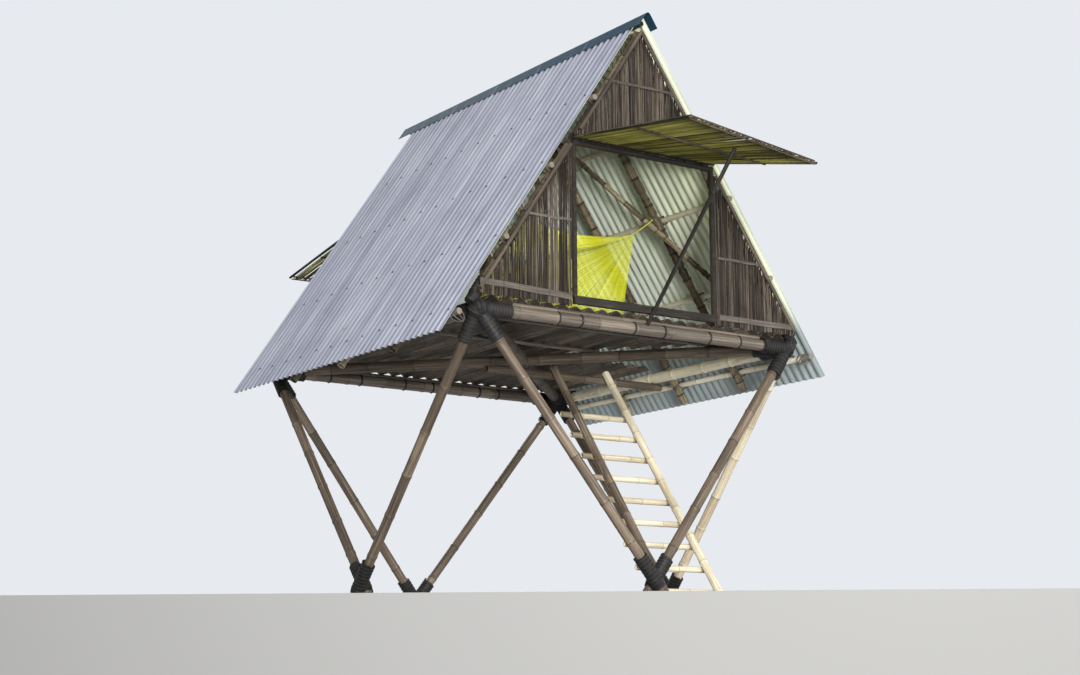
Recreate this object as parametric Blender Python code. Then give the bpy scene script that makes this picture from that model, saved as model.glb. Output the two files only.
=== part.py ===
# Stilt house: a one-room hut with a corrugated gable roof on eight raking bamboo legs.
# Metres, +Z up. X runs along the front gable, Y from the front gable to the back one.
# The origin is on the ground, in the middle of the plan.
import bpy
import bmesh
from math import atan2, cos, pi, radians, sin, tan
from mathutils import Matrix, Vector

# Frame
FLOOR_WIDTH = 2.71
FLOOR_LENGTH = 2.92
NODE_HEIGHT = 1.825
ROOF_PITCH_DEGREES = 55.95
SEAT_GAP = 0.0003

# Legs and their ends
LEG_DIAMETER = 0.070
SIDE_FOOT_SPREAD = 0.025
GABLE_FOOT_SPREAD = 0.105
FOOT_CROSSING_HEIGHT = 0.048
FOOT_POLE_SPACING = 0.006
FOOT_WRAP_START = 0.032
FOOT_WRAP_LENGTH = 0.25
WRAP_WALL = 0.010

# Corner joints, where the poles of a corner meet in one wrapped knot
JOINT_CORE = 0.125
SLEEVE_LENGTH = 0.25
SLEEVE_WALL = 0.009
KNOT_RADIUS = 0.063
RAFTER_SOCKET_LENGTH = 0.20

# Floor
BEAM_DIAMETER = 0.084
JOIST_DIAMETER = 0.030
JOIST_OVERHANG = 0.020
JOIST_PLACE_SHARES = (0.25, 0.71)
SLAT_PITCH = 0.115
SLAT_RISE = 0.032
SLAT_THICKNESS = 0.011
SLAT_BEDDING = 0.005
DECK_SIDE_INSET = 0.045
DECK_END_OVERHANG = 0.025
HATCH_LEFT = 0.26
HATCH_EDGE_MARGIN = 0.015
HATCH_CORNER_MARGIN = 0.185
HATCH_BEAM_Y = 0.1171
HATCH_BEAM_DIAMETER = 0.060
HATCH_BEAM_LEFT_END = -0.26
HATCH_BEAM_OVERHANG = 0.060

# Roof
EAVE_OVERHANG = 0.332
GABLE_OVERHANG = 0.064
CORRUGATION_PITCH = 0.0762
CORRUGATION_DEPTH = 0.018
SHEET_THICKNESS = 0.0015
RAFTER_PAIR_COUNT = 5
RAFTER_DIAMETER = 0.060
PURLIN_DIAMETER = 0.042
RAFTER_CROSSING_OVERRUN = 0.040
RAFTER_EAVE_SETBACK = 0.050
TOP_PURLIN_DISTANCE = 0.815
EAVE_PURLIN_SETBACK = 0.186
PURLIN_COUNT = 4
BRACE_DIAMETER = 0.040
BRACE_TOP_SPACING = 0.046
BRACE_TOP_DISTANCE = 0.38
BRACE_BOTTOM_RISE = 0.155
BRACE_BOTTOM_SETBACK = 0.13
CAP_FRONT_OVERHANG = 0.081
CAP_BACK_OVERHANG = 0.236
CAP_FLANGE = 0.145
CAP_THICKNESS = 0.0015
CAP_BEND_RADIUS = 0.020

# Gables
PANEL_THICKNESS = 0.018
BATTEN_WIDTH = 0.030
BATTEN_DEPTH = 0.012
RAKE_POLE_DIAMETER = 0.028
RAIL_HEIGHT = 0.042
OPENING_LEFT = -0.585
OPENING_RIGHT = 0.605
SILL_HEIGHT = 0.0555
POST_DIAMETER = 0.038
SILL_DEPTH = 0.032
HEAD_DIAMETER = 0.042
LEFT_BATTEN_RISE = 0.5805
RIGHT_BATTEN_RISE = 0.4805
TOP_BATTEN_RISE = 0.482

# Flaps and their props
FLAP_RIM_DIAMETER = 0.036
FLAP_RIM_RISE = 0.0594
FLAP_RIM_OVERHANG = 0.022
FLAP_LEFT_LAP = 0.020
FLAP_LEFT_REACH = 1.2334
FLAP_LEFT_DROP = 0.18
FLAP_RIGHT_LAP = 0.007
FLAP_RIGHT_REACH = 1.0334
FLAP_RIGHT_DROP = 0.24
FLAP_RIGHT_SPREAD = 0.078
FLAP_THICKNESS = 0.020
FLAP_BATTEN_DIAMETER = 0.026
FLAP_BATTEN_SHARE = 0.54
FLAP_BATTEN_INSET_SHARE = 0.02
PROP_DIAMETER = 0.030
PROP_FOOT_X = 0.036
PROP_HEAD_SHARES = (0.56, 0.76)

# Ladder
LADDER_LEFT = 0.345
LADDER_RIGHT = 0.845
LADDER_RUN_SHARE = 0.7435
LADDER_TOP_OVERRUN = 0.028
RAIL_DIAMETER = 0.060
RUNG_DIAMETER = 0.044
RUNG_FIRST_HEIGHT = 0.06
RUNG_TOP_MARGIN = 0.30
RUNG_SPACING = 0.1725
RUNG_LEFT_STUB = 0.075
RUNG_RIGHT_STUB = 0.020
RUNG_BEDDING = 0.009

# Mosquito net
NET_TOP_LEFT = -0.62
NET_TOP_RIGHT = 0.40
NET_BOTTOM_LEFT = -1.04
NET_BOTTOM_RIGHT = 0.22
NET_TOP_REACH = 0.90
NET_BOTTOM_REACH = 0.95
NET_HEIGHT = 0.7505
NET_THICKNESS = 0.004
NET_STRING_DIAMETER = 0.005
NET_STRING_RISE = 0.19

# Bamboo
NODE_SPACING = 0.34
NODE_RING_PROUD = 0.0035
NODE_RING_HALF_WIDTH = 0.012
POLE_SIDES = 10
THIN_POLE_SIDES = 8
JOIST_SIDES = 6
STRING_SIDES = 6
CUT_OVERRUN = 0.02
WELD_DISTANCE = 0.00002

# Worked out from the sizes above
HALF_WIDTH = FLOOR_WIDTH / 2
HALF_LENGTH = FLOOR_LENGTH / 2
PITCH = radians(ROOF_PITCH_DEGREES)
LEG_RADIUS = LEG_DIAMETER / 2
BEAM_RADIUS = BEAM_DIAMETER / 2
RAFTER_RADIUS = RAFTER_DIAMETER / 2
PURLIN_RADIUS = PURLIN_DIAMETER / 2
RAFTER_SPACING = FLOOR_LENGTH / (RAFTER_PAIR_COUNT - 1)
SHEET_DEPTH = CORRUGATION_DEPTH + SHEET_THICKNESS
PURLIN_OFFSET = SHEET_DEPTH + SEAT_GAP + PURLIN_RADIUS
RAFTER_OFFSET = PURLIN_OFFSET + PURLIN_RADIUS + SEAT_GAP + RAFTER_RADIUS
BEAM_OFFSET = RAFTER_OFFSET + RAFTER_RADIUS + SEAT_GAP + BEAM_RADIUS
BRACE_OFFSET = RAFTER_OFFSET + RAFTER_RADIUS + SEAT_GAP + BRACE_DIAMETER / 2
APEX_HEIGHT = NODE_HEIGHT + HALF_WIDTH * tan(PITCH) + BEAM_OFFSET / cos(PITCH)
BEAM_DISTANCE = (HALF_WIDTH + BEAM_OFFSET * sin(PITCH)) / cos(PITCH)
SLOPE_LENGTH = BEAM_DISTANCE + EAVE_OVERHANG
ROOF_LENGTH = FLOOR_LENGTH + 2 * GABLE_OVERHANG
BEAM_FLAT = BEAM_RADIUS * cos(pi / POLE_SIDES)
BEAM_TOP = NODE_HEIGHT + BEAM_FLAT
JOIST_FLAT = JOIST_DIAMETER / 2 * cos(pi / JOIST_SIDES)
JOIST_HEIGHT = BEAM_TOP + SEAT_GAP + JOIST_FLAT
SLAT_BOTTOM = JOIST_HEIGHT + JOIST_FLAT - SLAT_BEDDING
DECK_TOP = SLAT_BOTTOM + SLAT_RISE + SLAT_THICKNESS
PANEL_BOTTOM = DECK_TOP + SEAT_GAP
OPENING_BOTTOM = PANEL_BOTTOM + SILL_HEIGHT
NET_BOTTOM = DECK_TOP + SEAT_GAP
NET_TOP = NET_BOTTOM + NET_HEIGHT
SOCKET_RADIUS = RAFTER_RADIUS + WRAP_WALL
PANEL_BACK = HALF_LENGTH + SOCKET_RADIUS + SEAT_GAP
PANEL_FRONT = PANEL_BACK + PANEL_THICKNESS
FRAME_PLANE = HALF_LENGTH + RAFTER_RADIUS + SEAT_GAP + HEAD_DIAMETER / 2
RIDGE_POLE_DROP = PURLIN_OFFSET / cos(PITCH)


def material(name, colour, roughness, metallic):
    """A Principled material with one colour."""
    made = bpy.data.materials.new(name)
    made.use_nodes = True
    shader = made.node_tree.nodes["Principled BSDF"]
    shader.inputs["Base Color"].default_value = (*colour, 1)
    shader.inputs["Roughness"].default_value = roughness
    shader.inputs["Metallic"].default_value = metallic
    made.diffuse_color = (*colour, 1)
    return made


FINISHES = {
    "bamboo": ((0.42, 0.33, 0.19), 0.5, 0),
    "dry_bamboo": ((0.30, 0.24, 0.16), 0.6, 0),
    "rubber": ((0.02, 0.02, 0.022), 0.6, 0),
    "slats": ((0.33, 0.27, 0.16), 0.6, 0),
    "galvanised": ((0.46, 0.49, 0.53), 0.35, 1),
    "painted_metal": ((0.03, 0.12, 0.18), 0.4, 0),
    "reed": ((0.25, 0.21, 0.16), 0.8, 0),
    "flap_reed": ((0.34, 0.32, 0.14), 0.8, 0),
    "dark_wood": ((0.10, 0.085, 0.07), 0.7, 0),
    "net": ((0.65, 0.78, 0.06), 0.8, 0),
}


def finish(obj, finish_name):
    """Gives an object its own material."""
    colour, roughness, metallic = FINISHES[finish_name]
    obj.data.materials.clear()
    obj.data.materials.append(material(obj.name, colour, roughness, metallic))
    return obj


def object_from(bm, name, smooth=False):
    """Turns a bmesh into a linked object with its faces pointing out."""
    bmesh.ops.recalc_face_normals(bm, faces=bm.faces)
    mesh = bpy.data.meshes.new(name)
    bm.to_mesh(mesh)
    bm.free()
    if smooth:
        mesh.shade_smooth()
        mesh.set_sharp_from_angle(angle=radians(40))
    obj = bpy.data.objects.new(name, mesh)
    bpy.context.collection.objects.link(obj)
    return obj


def ring_stations(length, radius, plain_start, plain_end):
    """Heights and radii of a bamboo pole: a raised ring at each node between its plain ends."""
    stations = [(0, radius)]
    free = length - plain_start - plain_end
    count = max(0, int(free // NODE_SPACING))
    for index in range(count):
        height = plain_start + free * (index + 0.5) / count
        stations.append((height - NODE_RING_HALF_WIDTH, radius))
        stations.append((height, radius + NODE_RING_PROUD))
        stations.append((height + NODE_RING_HALF_WIDTH, radius))
    stations.append((length, radius))
    return stations


def skin(bm, first, second):
    """Joins two closed rings of as many points by a band of faces."""
    for (near, near_after), (far, far_after) in zip(neighbours(first), neighbours(second)):
        bm.faces.new((near, near_after, far_after, far))


def turned(name, stations, sides):
    """A closed turned solid along +Z from its (height, radius) stations."""
    bm = bmesh.new()
    rings = []
    for height, radius in stations:
        ring = []
        for side in range(sides):
            angle = 2 * pi * side / sides
            ring.append(bm.verts.new((radius * cos(angle), radius * sin(angle), height)))
        rings.append(ring)
    for lower, upper in zip(rings, rings[1:]):
        skin(bm, lower, upper)
    bm.faces.new(rings[0])
    bm.faces.new(rings[-1])
    return object_from(bm, name, smooth=True)


def ball(name, centre, radius):
    """A knot: a sphere with flattened poles."""
    stations = []
    for step in range(-2, 3):
        angle = pi / 6 * step
        stations.append((radius * sin(angle), radius * cos(angle)))
    obj = turned(name, stations, POLE_SIDES + 2)
    obj.location = centre
    return obj


def aim(obj, start, end):
    """Stands an object's +Z along the line from start to end."""
    direction = Vector(end) - Vector(start)
    turn = direction.to_track_quat("Z", "Y").to_matrix().to_4x4()
    obj.matrix_world = Matrix.Translation(start) @ turn
    return obj


def rod(name, start, end, radius, sides=THIN_POLE_SIDES):
    """A plain round pole between two points."""
    length = (Vector(end) - Vector(start)).length
    return aim(turned(name, [(0, radius), (length, radius)], sides), start, end)


def bamboo(name, start, end, radius, plain_start, plain_end):
    """A bamboo pole between two points, with its node rings."""
    length = (Vector(end) - Vector(start)).length
    stations = ring_stations(length, radius, plain_start, plain_end)
    return aim(turned(name, stations, POLE_SIDES), start, end)


def neighbours(ring):
    """Each item of a closed ring, with the one after it."""
    return list(zip(ring, ring[1:] + ring[:1]))


def along(start, end, distance):
    """The point at a distance from start towards end."""
    start = Vector(start)
    return start + (Vector(end) - start).normalized() * distance


def block(name, low, high):
    """A box between two corners."""
    bm = bmesh.new()
    bmesh.ops.create_cube(bm, size=1)
    low = Vector(low)
    high = Vector(high)
    size = high - low
    for vert in bm.verts:
        vert.co = Vector(c * s for c, s in zip(vert.co, size)) + (low + high) / 2
    return object_from(bm, name)


def prism(name, outline, y_start, y_end):
    """An outline in the XZ plane, extruded along Y."""
    bm = bmesh.new()
    near = [bm.verts.new((x, y_start, z)) for x, z in outline]
    far = [bm.verts.new((x, y_end, z)) for x, z in outline]
    skin(bm, near, far)
    bm.faces.new(near)
    bm.faces.new(far)
    return object_from(bm, name)


def combine(target, operands, operation):
    """Unites with, or cuts, a target by some objects, which are used up."""
    for operand in operands:
        bpy.context.view_layer.update()
        modifier = target.modifiers.new("combine", "BOOLEAN")
        modifier.operation = operation
        modifier.solver = "EXACT"
        modifier.object = operand
        graph = bpy.context.evaluated_depsgraph_get()
        made = bpy.data.meshes.new_from_object(target.evaluated_get(graph))
        target.modifiers.clear()
        target.data = made
        bpy.data.objects.remove(operand)
        weld(target)
    return target


def weld(obj):
    """Merges points that a cut left closer together than any real edge."""
    bm = bmesh.new()
    bm.from_mesh(obj.data)
    bmesh.ops.remove_doubles(bm, verts=bm.verts, dist=WELD_DISTANCE)
    bmesh.ops.dissolve_degenerate(bm, edges=bm.edges, dist=WELD_DISTANCE)
    bm.to_mesh(obj.data)
    bm.free()


def trim_below(obj, height):
    """Cuts an object off flat at a height, and closes the cut."""
    bpy.context.view_layer.update()
    inverse = obj.matrix_world.inverted()
    point = inverse @ Vector((0, 0, height))
    normal = inverse.to_3x3() @ Vector((0, 0, 1))
    bm = bmesh.new()
    bm.from_mesh(obj.data)
    geometry = bm.verts[:] + bm.edges[:] + bm.faces[:]
    cut = bmesh.ops.bisect_plane(bm, geom=geometry, plane_co=point, plane_no=normal, clear_inner=True)
    edges = [item for item in cut["geom_cut"] if isinstance(item, bmesh.types.BMEdge)]
    bmesh.ops.contextual_create(bm, geom=edges)
    bmesh.ops.recalc_face_normals(bm, faces=bm.faces)
    bm.to_mesh(obj.data)
    bm.free()
    return obj


def slope_point(side, distance, offset, y):
    """A point on a roof slope: its distance down from the apex and its depth below the crests."""
    x = distance * cos(PITCH) - offset * sin(PITCH)
    z = APEX_HEIGHT - distance * sin(PITCH) - offset * cos(PITCH)
    return Vector((side * x, y, z))


def slope_distance(height, offset):
    """How far down from the apex a line at a depth below the crests is at a height."""
    return (APEX_HEIGHT - height - offset * cos(PITCH)) / sin(PITCH)


def slope_x(height, offset):
    """How far out a line at a depth below the crests is at a height."""
    return (APEX_HEIGHT - offset / cos(PITCH) - height) / tan(PITCH)


CORNERS = {
    "front_left": (-1, -1),
    "front_right": (1, -1),
    "back_right": (1, 1),
    "back_left": (-1, 1),
}
SIDE_NAMES = {-1: "left", 1: "right"}
END_NAMES = {-1: "front", 1: "back"}


def corner_node(side, end):
    return Vector((side * HALF_WIDTH, end * HALF_LENGTH, NODE_HEIGHT))


def leg_axis(side, end, foot):
    """The top and bottom points of a leg, from its corner to the ground past the foot's crossing."""
    top = corner_node(side, end)
    shift = LEG_RADIUS + FOOT_POLE_SPACING / 2
    if foot == "gable":
        reach = HALF_LENGTH + GABLE_FOOT_SPREAD
        crossing = Vector((0, end * reach + side * shift, FOOT_CROSSING_HEIGHT))
    else:
        reach = HALF_WIDTH + SIDE_FOOT_SPREAD
        crossing = Vector((side * reach + end * shift, 0, FOOT_CROSSING_HEIGHT))
    direction = crossing - top
    bottom = top + direction * (top.z / -direction.z)
    return top, bottom


def leg_shape(name, side, end, foot):
    """A leg from its corner joint to the ground, where it is cut off flat."""
    top, bottom = leg_axis(side, end, foot)
    start = along(bottom, top, -2 * LEG_DIAMETER)
    plain_start = 2 * LEG_DIAMETER + FOOT_WRAP_START + 2 * FOOT_WRAP_LENGTH
    leg = bamboo(name, start, along(top, bottom, JOINT_CORE), LEG_RADIUS, plain_start, SLEEVE_LENGTH)
    return trim_below(leg, 0)


def leg_bore(side, end, foot):
    """The bore that a leg leaves in its foot's wrap."""
    top, bottom = leg_axis(side, end, foot)
    low = along(bottom, top, -2 * LEG_DIAMETER)
    return rod("bore", low, along(top, bottom, SLEEVE_LENGTH), LEG_RADIUS + SEAT_GAP, POLE_SIDES)


def make_legs():
    for corner, (side, end) in CORNERS.items():
        targets = {"gable": END_NAMES[end], "side": SIDE_NAMES[side]}
        for foot, foot_name in targets.items():
            leg = leg_shape(f"leg_{corner}_to_{foot_name}_foot", side, end, foot)
            finish(leg, "bamboo")


def foot_wrap_sleeve(side, end, foot, radius):
    top, bottom = leg_axis(side, end, foot)
    rise = (top - bottom).normalized().z
    start = along(bottom, top, FOOT_WRAP_START / rise)
    return rod("sleeve", start, along(start, top, FOOT_WRAP_LENGTH), radius, POLE_SIDES)


def make_foot_wraps():
    """Each wrap binds the two legs that cross at a foot."""
    outer = LEG_RADIUS + WRAP_WALL
    feet = {
        "front": ("gable", (-1, -1), (1, -1)),
        "back": ("gable", (-1, 1), (1, 1)),
        "left": ("side", (-1, -1), (-1, 1)),
        "right": ("side", (1, -1), (1, 1)),
    }
    for foot_name, (foot, first, second) in feet.items():
        wrap = foot_wrap_sleeve(*first, foot, outer)
        combine(wrap, [foot_wrap_sleeve(*second, foot, outer)], "UNION")
        bores = [leg_bore(*corner, foot) for corner in (first, second)]
        combine(wrap, bores, "DIFFERENCE")
        wrap.name = f"foot_wrap_{foot_name}"
        finish(wrap, "rubber")


def gable_rafter_axis(side, end):
    """The axis of a gable rafter: past the crossing at the top, down into its corner joint."""
    crossing = RAFTER_OFFSET * tan(PITCH)
    top = slope_point(side, crossing - RAFTER_CROSSING_OVERRUN, RAFTER_OFFSET, 0)
    low = slope_point(side, BEAM_DISTANCE, RAFTER_OFFSET, 0)
    top.y = low.y = end * HALF_LENGTH
    return top, low


def joint_arms(side, end):
    """The poles that meet at a corner, as far end, radius and sleeve length."""
    node = corner_node(side, end)
    arms = [
        (leg_axis(side, end, "gable")[1], LEG_RADIUS, SLEEVE_LENGTH),
        (leg_axis(side, end, "side")[1], LEG_RADIUS, SLEEVE_LENGTH),
        (Vector((-node.x, node.y, node.z)), BEAM_RADIUS, SLEEVE_LENGTH),
        (Vector((node.x, -node.y, node.z)), BEAM_RADIUS, SLEEVE_LENGTH),
        (Vector((-node.x, -node.y, node.z)), BEAM_RADIUS, SLEEVE_LENGTH),
    ]
    return node, arms


def make_corner_joints():
    """A wrapped knot at each corner, with a socket for every pole that meets there."""
    for corner, (side, end) in CORNERS.items():
        node, arms = joint_arms(side, end)
        sleeves = []
        bores = []
        for far, radius, length in arms:
            reach = along(node, far, length)
            past = along(node, far, length + CUT_OVERRUN)
            bore_start = along(node, far, JOINT_CORE - SEAT_GAP)
            sleeves.append(rod("sleeve", node, reach, radius + SLEEVE_WALL, POLE_SIDES))
            bores.append(rod("bore", bore_start, past, radius + SEAT_GAP, POLE_SIDES))
        top, low = gable_rafter_axis(side, end)
        socket_top = along(low, top, RAFTER_SOCKET_LENGTH)
        socket_low = along(low, top, -WRAP_WALL)
        bore_low = along(low, top, -SEAT_GAP)
        bore_top = along(socket_top, top, CUT_OVERRUN)
        sleeves.append(rod("socket", socket_low, socket_top, SOCKET_RADIUS, POLE_SIDES))
        bores.append(rod("bore", bore_low, bore_top, RAFTER_RADIUS + SEAT_GAP))
        joint = combine(ball("knot", node, KNOT_RADIUS), sleeves, "UNION")
        combine(joint, bores, "DIFFERENCE")
        joint.name = f"corner_joint_{corner}"
        finish(joint, "rubber")


def make_floor_beams():
    """Four edge beams and one long diagonal between the corner joints, and two half diagonals."""
    for end, end_name in END_NAMES.items():
        beam_between(f"floor_beam_{end_name}", corner_node(-1, end), corner_node(1, end), False)
    for side, side_name in SIDE_NAMES.items():
        beam_between(f"floor_beam_{side_name}", corner_node(side, -1), corner_node(side, 1), True)
    beam_between("floor_diagonal", corner_node(1, -1), corner_node(-1, 1), False)
    middle = Vector((0, 0, NODE_HEIGHT))
    crossing_angle = pi - 2 * atan2(HALF_LENGTH, HALF_WIDTH)
    meeting = (BEAM_RADIUS + BEAM_RADIUS * cos(crossing_angle)) / sin(crossing_angle) + 2 * SEAT_GAP
    for side, end in ((-1, -1), (1, 1)):
        node = corner_node(side, end)
        name = f"floor_half_diagonal_{END_NAMES[end]}"
        outer = along(node, middle, JOINT_CORE)
        half = rod(name, outer, along(middle, node, meeting), BEAM_RADIUS, POLE_SIDES)
        finish(half, "dry_bamboo")


def beam_between(name, start, stop, ringed):
    """A floor beam whose ends lie in the sockets of two corner joints."""
    near = along(start, stop, JOINT_CORE)
    far = along(stop, start, JOINT_CORE)
    if ringed:
        beam = bamboo(name, near, far, BEAM_RADIUS, SLEEVE_LENGTH, SLEEVE_LENGTH)
    else:
        beam = rod(name, near, far, BEAM_RADIUS, POLE_SIDES)
    finish(beam, "dry_bamboo")


def hatch_beam_height():
    """The height of the axis of the beam that the ladder leans on, close under the floor beams."""
    return NODE_HEIGHT - BEAM_FLAT - SEAT_GAP - HATCH_BEAM_DIAMETER / 2 * cos(pi / POLE_SIDES)


def ladder_line(height):
    """How far back the ladder's rails are at a height, where they touch the hatch beam's front."""
    rail_flat = RAIL_DIAMETER / 2 * cos(pi / POLE_SIDES)
    clear = (HATCH_BEAM_DIAMETER / 2 + rail_flat + SEAT_GAP) / sin(atan2(1, LADDER_RUN_SHARE))
    return HATCH_BEAM_Y - clear + (height - hatch_beam_height()) * LADDER_RUN_SHARE


def ladder_top_height():
    """The height of the rails' ends, just past the place where they touch the hatch beam."""
    height = hatch_beam_height()
    lean = atan2(1, LADDER_RUN_SHARE)
    past = (HATCH_BEAM_Y - ladder_line(height)) * cos(lean) + LADDER_TOP_OVERRUN
    return height + past * sin(lean)


def make_hatch_beam():
    height = hatch_beam_height()
    start = (HATCH_BEAM_LEFT_END, HATCH_BEAM_Y, height)
    end = (HALF_WIDTH + HATCH_BEAM_OVERHANG, HATCH_BEAM_Y, height)
    finish(rod("hatch_beam", start, end, HATCH_BEAM_DIAMETER / 2, POLE_SIDES), "bamboo")


def hatch_outline():
    """The hatch's corners in plan: beside the diagonal, past the floor's right edge and its own beam."""
    slope = -HALF_LENGTH / HALF_WIDTH
    clear = (BEAM_RADIUS + HATCH_EDGE_MARGIN) / cos(atan2(HALF_LENGTH, HALF_WIDTH))
    near = HALF_WIDTH - BEAM_RADIUS - HATCH_CORNER_MARGIN
    right = HALF_WIDTH + JOIST_OVERHANG + CUT_OVERRUN
    return [
        (HATCH_LEFT, slope * HATCH_LEFT + clear),
        (near, slope * near + clear),
        (right, slope * near + clear),
        (right, HATCH_BEAM_Y),
        (HATCH_LEFT, HATCH_BEAM_Y),
    ]


def slat_outline():
    """The deck's section: a row of split bamboo arches, each with its own thickness."""
    half = HALF_WIDTH - DECK_SIDE_INSET
    count = max(2, round(2 * half / SLAT_PITCH))
    pitch = 2 * half / count
    segments = 4
    total = count * segments
    top = []
    bottom = []
    for index in range(total + 1):
        x = -half + 2 * half * index / total
        phase = (index % segments) / segments
        rise = SLAT_RISE * sin(pi * phase)
        bottom.append((x, SLAT_BOTTOM + rise))
        top.append((x, SLAT_BOTTOM + rise + SLAT_THICKNESS))
    return bottom + top[::-1]


def joist(half, y):
    return rod("joist", (-half, y, JOIST_HEIGHT), (half, y, JOIST_HEIGHT), JOIST_DIAMETER / 2, JOIST_SIDES)


def make_deck():
    """Split bamboo slats on thin joists, with the hatch cut through both."""
    reach = HALF_LENGTH + DECK_END_OVERHANG
    deck = prism("deck", slat_outline(), -reach, reach)
    joists = []
    for end in (-1, 1):
        for share in JOIST_PLACE_SHARES:
            joists.append(joist(HALF_WIDTH + JOIST_OVERHANG, end * HALF_LENGTH * share))
        joists.append(joist(HALF_WIDTH - SLEEVE_LENGTH - CUT_OVERRUN, end * HALF_LENGTH))
    combine(deck, joists, "UNION")
    bm = bmesh.new()
    outline = hatch_outline()
    low = [bm.verts.new((x, y, BEAM_TOP - CUT_OVERRUN)) for x, y in outline]
    high = [bm.verts.new((x, y, DECK_TOP + CUT_OVERRUN)) for x, y in outline]
    skin(bm, low, high)
    bm.faces.new(low)
    bm.faces.new(high)
    combine(deck, [object_from(bm, "hatch")], "DIFFERENCE")
    finish(deck, "slats")


def make_rafters():
    """Pairs of rafters that cross at the ridge. The two gable pairs end in the corner joints."""
    last = RAFTER_PAIR_COUNT - 1
    for index in range(RAFTER_PAIR_COUNT):
        y = RAFTER_SPACING * index - HALF_LENGTH
        pair = []
        for side in (-1, 1):
            end = -1 if index == 0 else 1
            top, low = gable_rafter_axis(side, end)
            if 0 < index < last:
                low = slope_point(side, SLOPE_LENGTH - RAFTER_EAVE_SETBACK, RAFTER_OFFSET, y)
            top.y = low.y = y
            pair.append(rod("rafter", top, low, RAFTER_RADIUS))
        joined = combine(pair[0], pair[1:], "UNION")
        joined.name = f"rafter_pair_{index + 1}"
        finish(joined, "bamboo")


def make_ridge_and_purlins():
    half = ROOF_LENGTH / 2
    height = APEX_HEIGHT - RIDGE_POLE_DROP
    finish(rod("ridge_pole", (0, -half, height), (0, half, height), PURLIN_RADIUS), "bamboo")
    spacing = (SLOPE_LENGTH - EAVE_PURLIN_SETBACK - TOP_PURLIN_DISTANCE) / (PURLIN_COUNT - 1)
    for side, side_name in SIDE_NAMES.items():
        for index in range(PURLIN_COUNT):
            distance = TOP_PURLIN_DISTANCE + spacing * index
            start = slope_point(side, distance, PURLIN_OFFSET, -half)
            end = slope_point(side, distance, PURLIN_OFFSET, half)
            finish(rod(f"purlin_{side_name}_{index + 1}", start, end, PURLIN_RADIUS), "bamboo")


def make_braces():
    """On each slope two braces run from under the middle rafter to the lower corners."""
    bottom = slope_distance(BEAM_TOP + BRACE_BOTTOM_RISE, BRACE_OFFSET)
    reach = HALF_LENGTH - BRACE_BOTTOM_SETBACK
    for side, side_name in SIDE_NAMES.items():
        for end, end_name in END_NAMES.items():
            top = slope_point(side, BRACE_TOP_DISTANCE, BRACE_OFFSET, end * BRACE_TOP_SPACING / 2)
            low = slope_point(side, bottom, BRACE_OFFSET, end * reach)
            brace = rod(f"roof_brace_{side_name}_{end_name}", top, low, BRACE_DIAMETER / 2)
            finish(brace, "bamboo")


def make_roof_sheets():
    """One corrugated skin a slope, with its waves running from the ridge to the eave."""
    count = max(4, round(ROOF_LENGTH / CORRUGATION_PITCH))
    steps = 6
    total = count * steps
    for side, side_name in SIDE_NAMES.items():
        bm = bmesh.new()
        grid = []
        for index in range(total + 1):
            y = ROOF_LENGTH * (index / total - 0.5)
            wave = CORRUGATION_DEPTH * (1 - cos(2 * pi * index / steps)) / 2
            row = []
            for distance in (ridge_clearance(), SLOPE_LENGTH):
                for offset in (wave, wave + SHEET_THICKNESS):
                    row.append(bm.verts.new(slope_point(side, distance, offset, y)))
            grid.append(row)
        for near, far in zip(grid, grid[1:]):
            for first, second in ((0, 1), (1, 3), (3, 2), (2, 0)):
                bm.faces.new((near[first], near[second], far[second], far[first]))
        for row in (grid[0], grid[-1]):
            bm.faces.new((row[0], row[1], row[3], row[2]))
        finish(object_from(bm, f"roof_sheets_{side_name}"), "galvanised")


def ridge_clearance():
    """How far below the apex the sheets start: clear of the cap's round bend and of each other."""
    return max(CAP_BEND_RADIUS, SHEET_DEPTH) * tan(PITCH) + SHEET_THICKNESS


def make_ridge_cap():
    """Folded metal over the ridge: two flanges on the crests and a round bend between them."""
    bend = CAP_BEND_RADIUS
    centre = APEX_HEIGHT + SEAT_GAP / cos(PITCH) - bend / cos(PITCH)
    steps = 8
    inner = []
    outer = []
    tangent = bend * tan(PITCH)
    for radius, points in ((bend, inner), (bend + CAP_THICKNESS, outer)):
        for side in (-1, 1):
            arc = []
            reach = CAP_FLANGE - tangent
            edge_x = radius * sin(PITCH) + reach * cos(PITCH)
            edge_z = centre + radius * cos(PITCH) - reach * sin(PITCH)
            arc.append((side * edge_x, edge_z))
            for step in range(steps // 2 + 1):
                angle = PITCH * (1 - 2 * step / steps)
                arc.append((side * radius * sin(angle), centre + radius * cos(angle)))
            if side < 0:
                points.extend(arc)
            else:
                points.extend(arc[:-1][::-1])
    front = -ROOF_LENGTH / 2 - CAP_FRONT_OVERHANG
    back = ROOF_LENGTH / 2 + CAP_BACK_OVERHANG
    cap = prism("ridge_cap", inner + outer[::-1], front, back)
    finish(cap, "painted_metal")


def panel_edge(height):
    """How far out the gable panels' sloping edge is, just under the purlins."""
    return slope_x(height, PURLIN_OFFSET + PURLIN_RADIUS + 2 * SEAT_GAP)


def panel_tip(x):
    """How high the gable panels' sloping edge is, beside the middle of the gable."""
    return panel_edge(0) * tan(PITCH) - abs(x) * tan(PITCH)


def opening_top():
    """The head's underside: just under the place where the slopes meet the posts' outer faces."""
    post_face = min(-OPENING_LEFT, OPENING_RIGHT) + POST_DIAMETER + SEAT_GAP
    return panel_tip(post_face) - HEAD_DIAMETER


def over_opening():
    """The height at which the reeds over an opening start."""
    return opening_top() + HEAD_DIAMETER + SEAT_GAP


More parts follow.
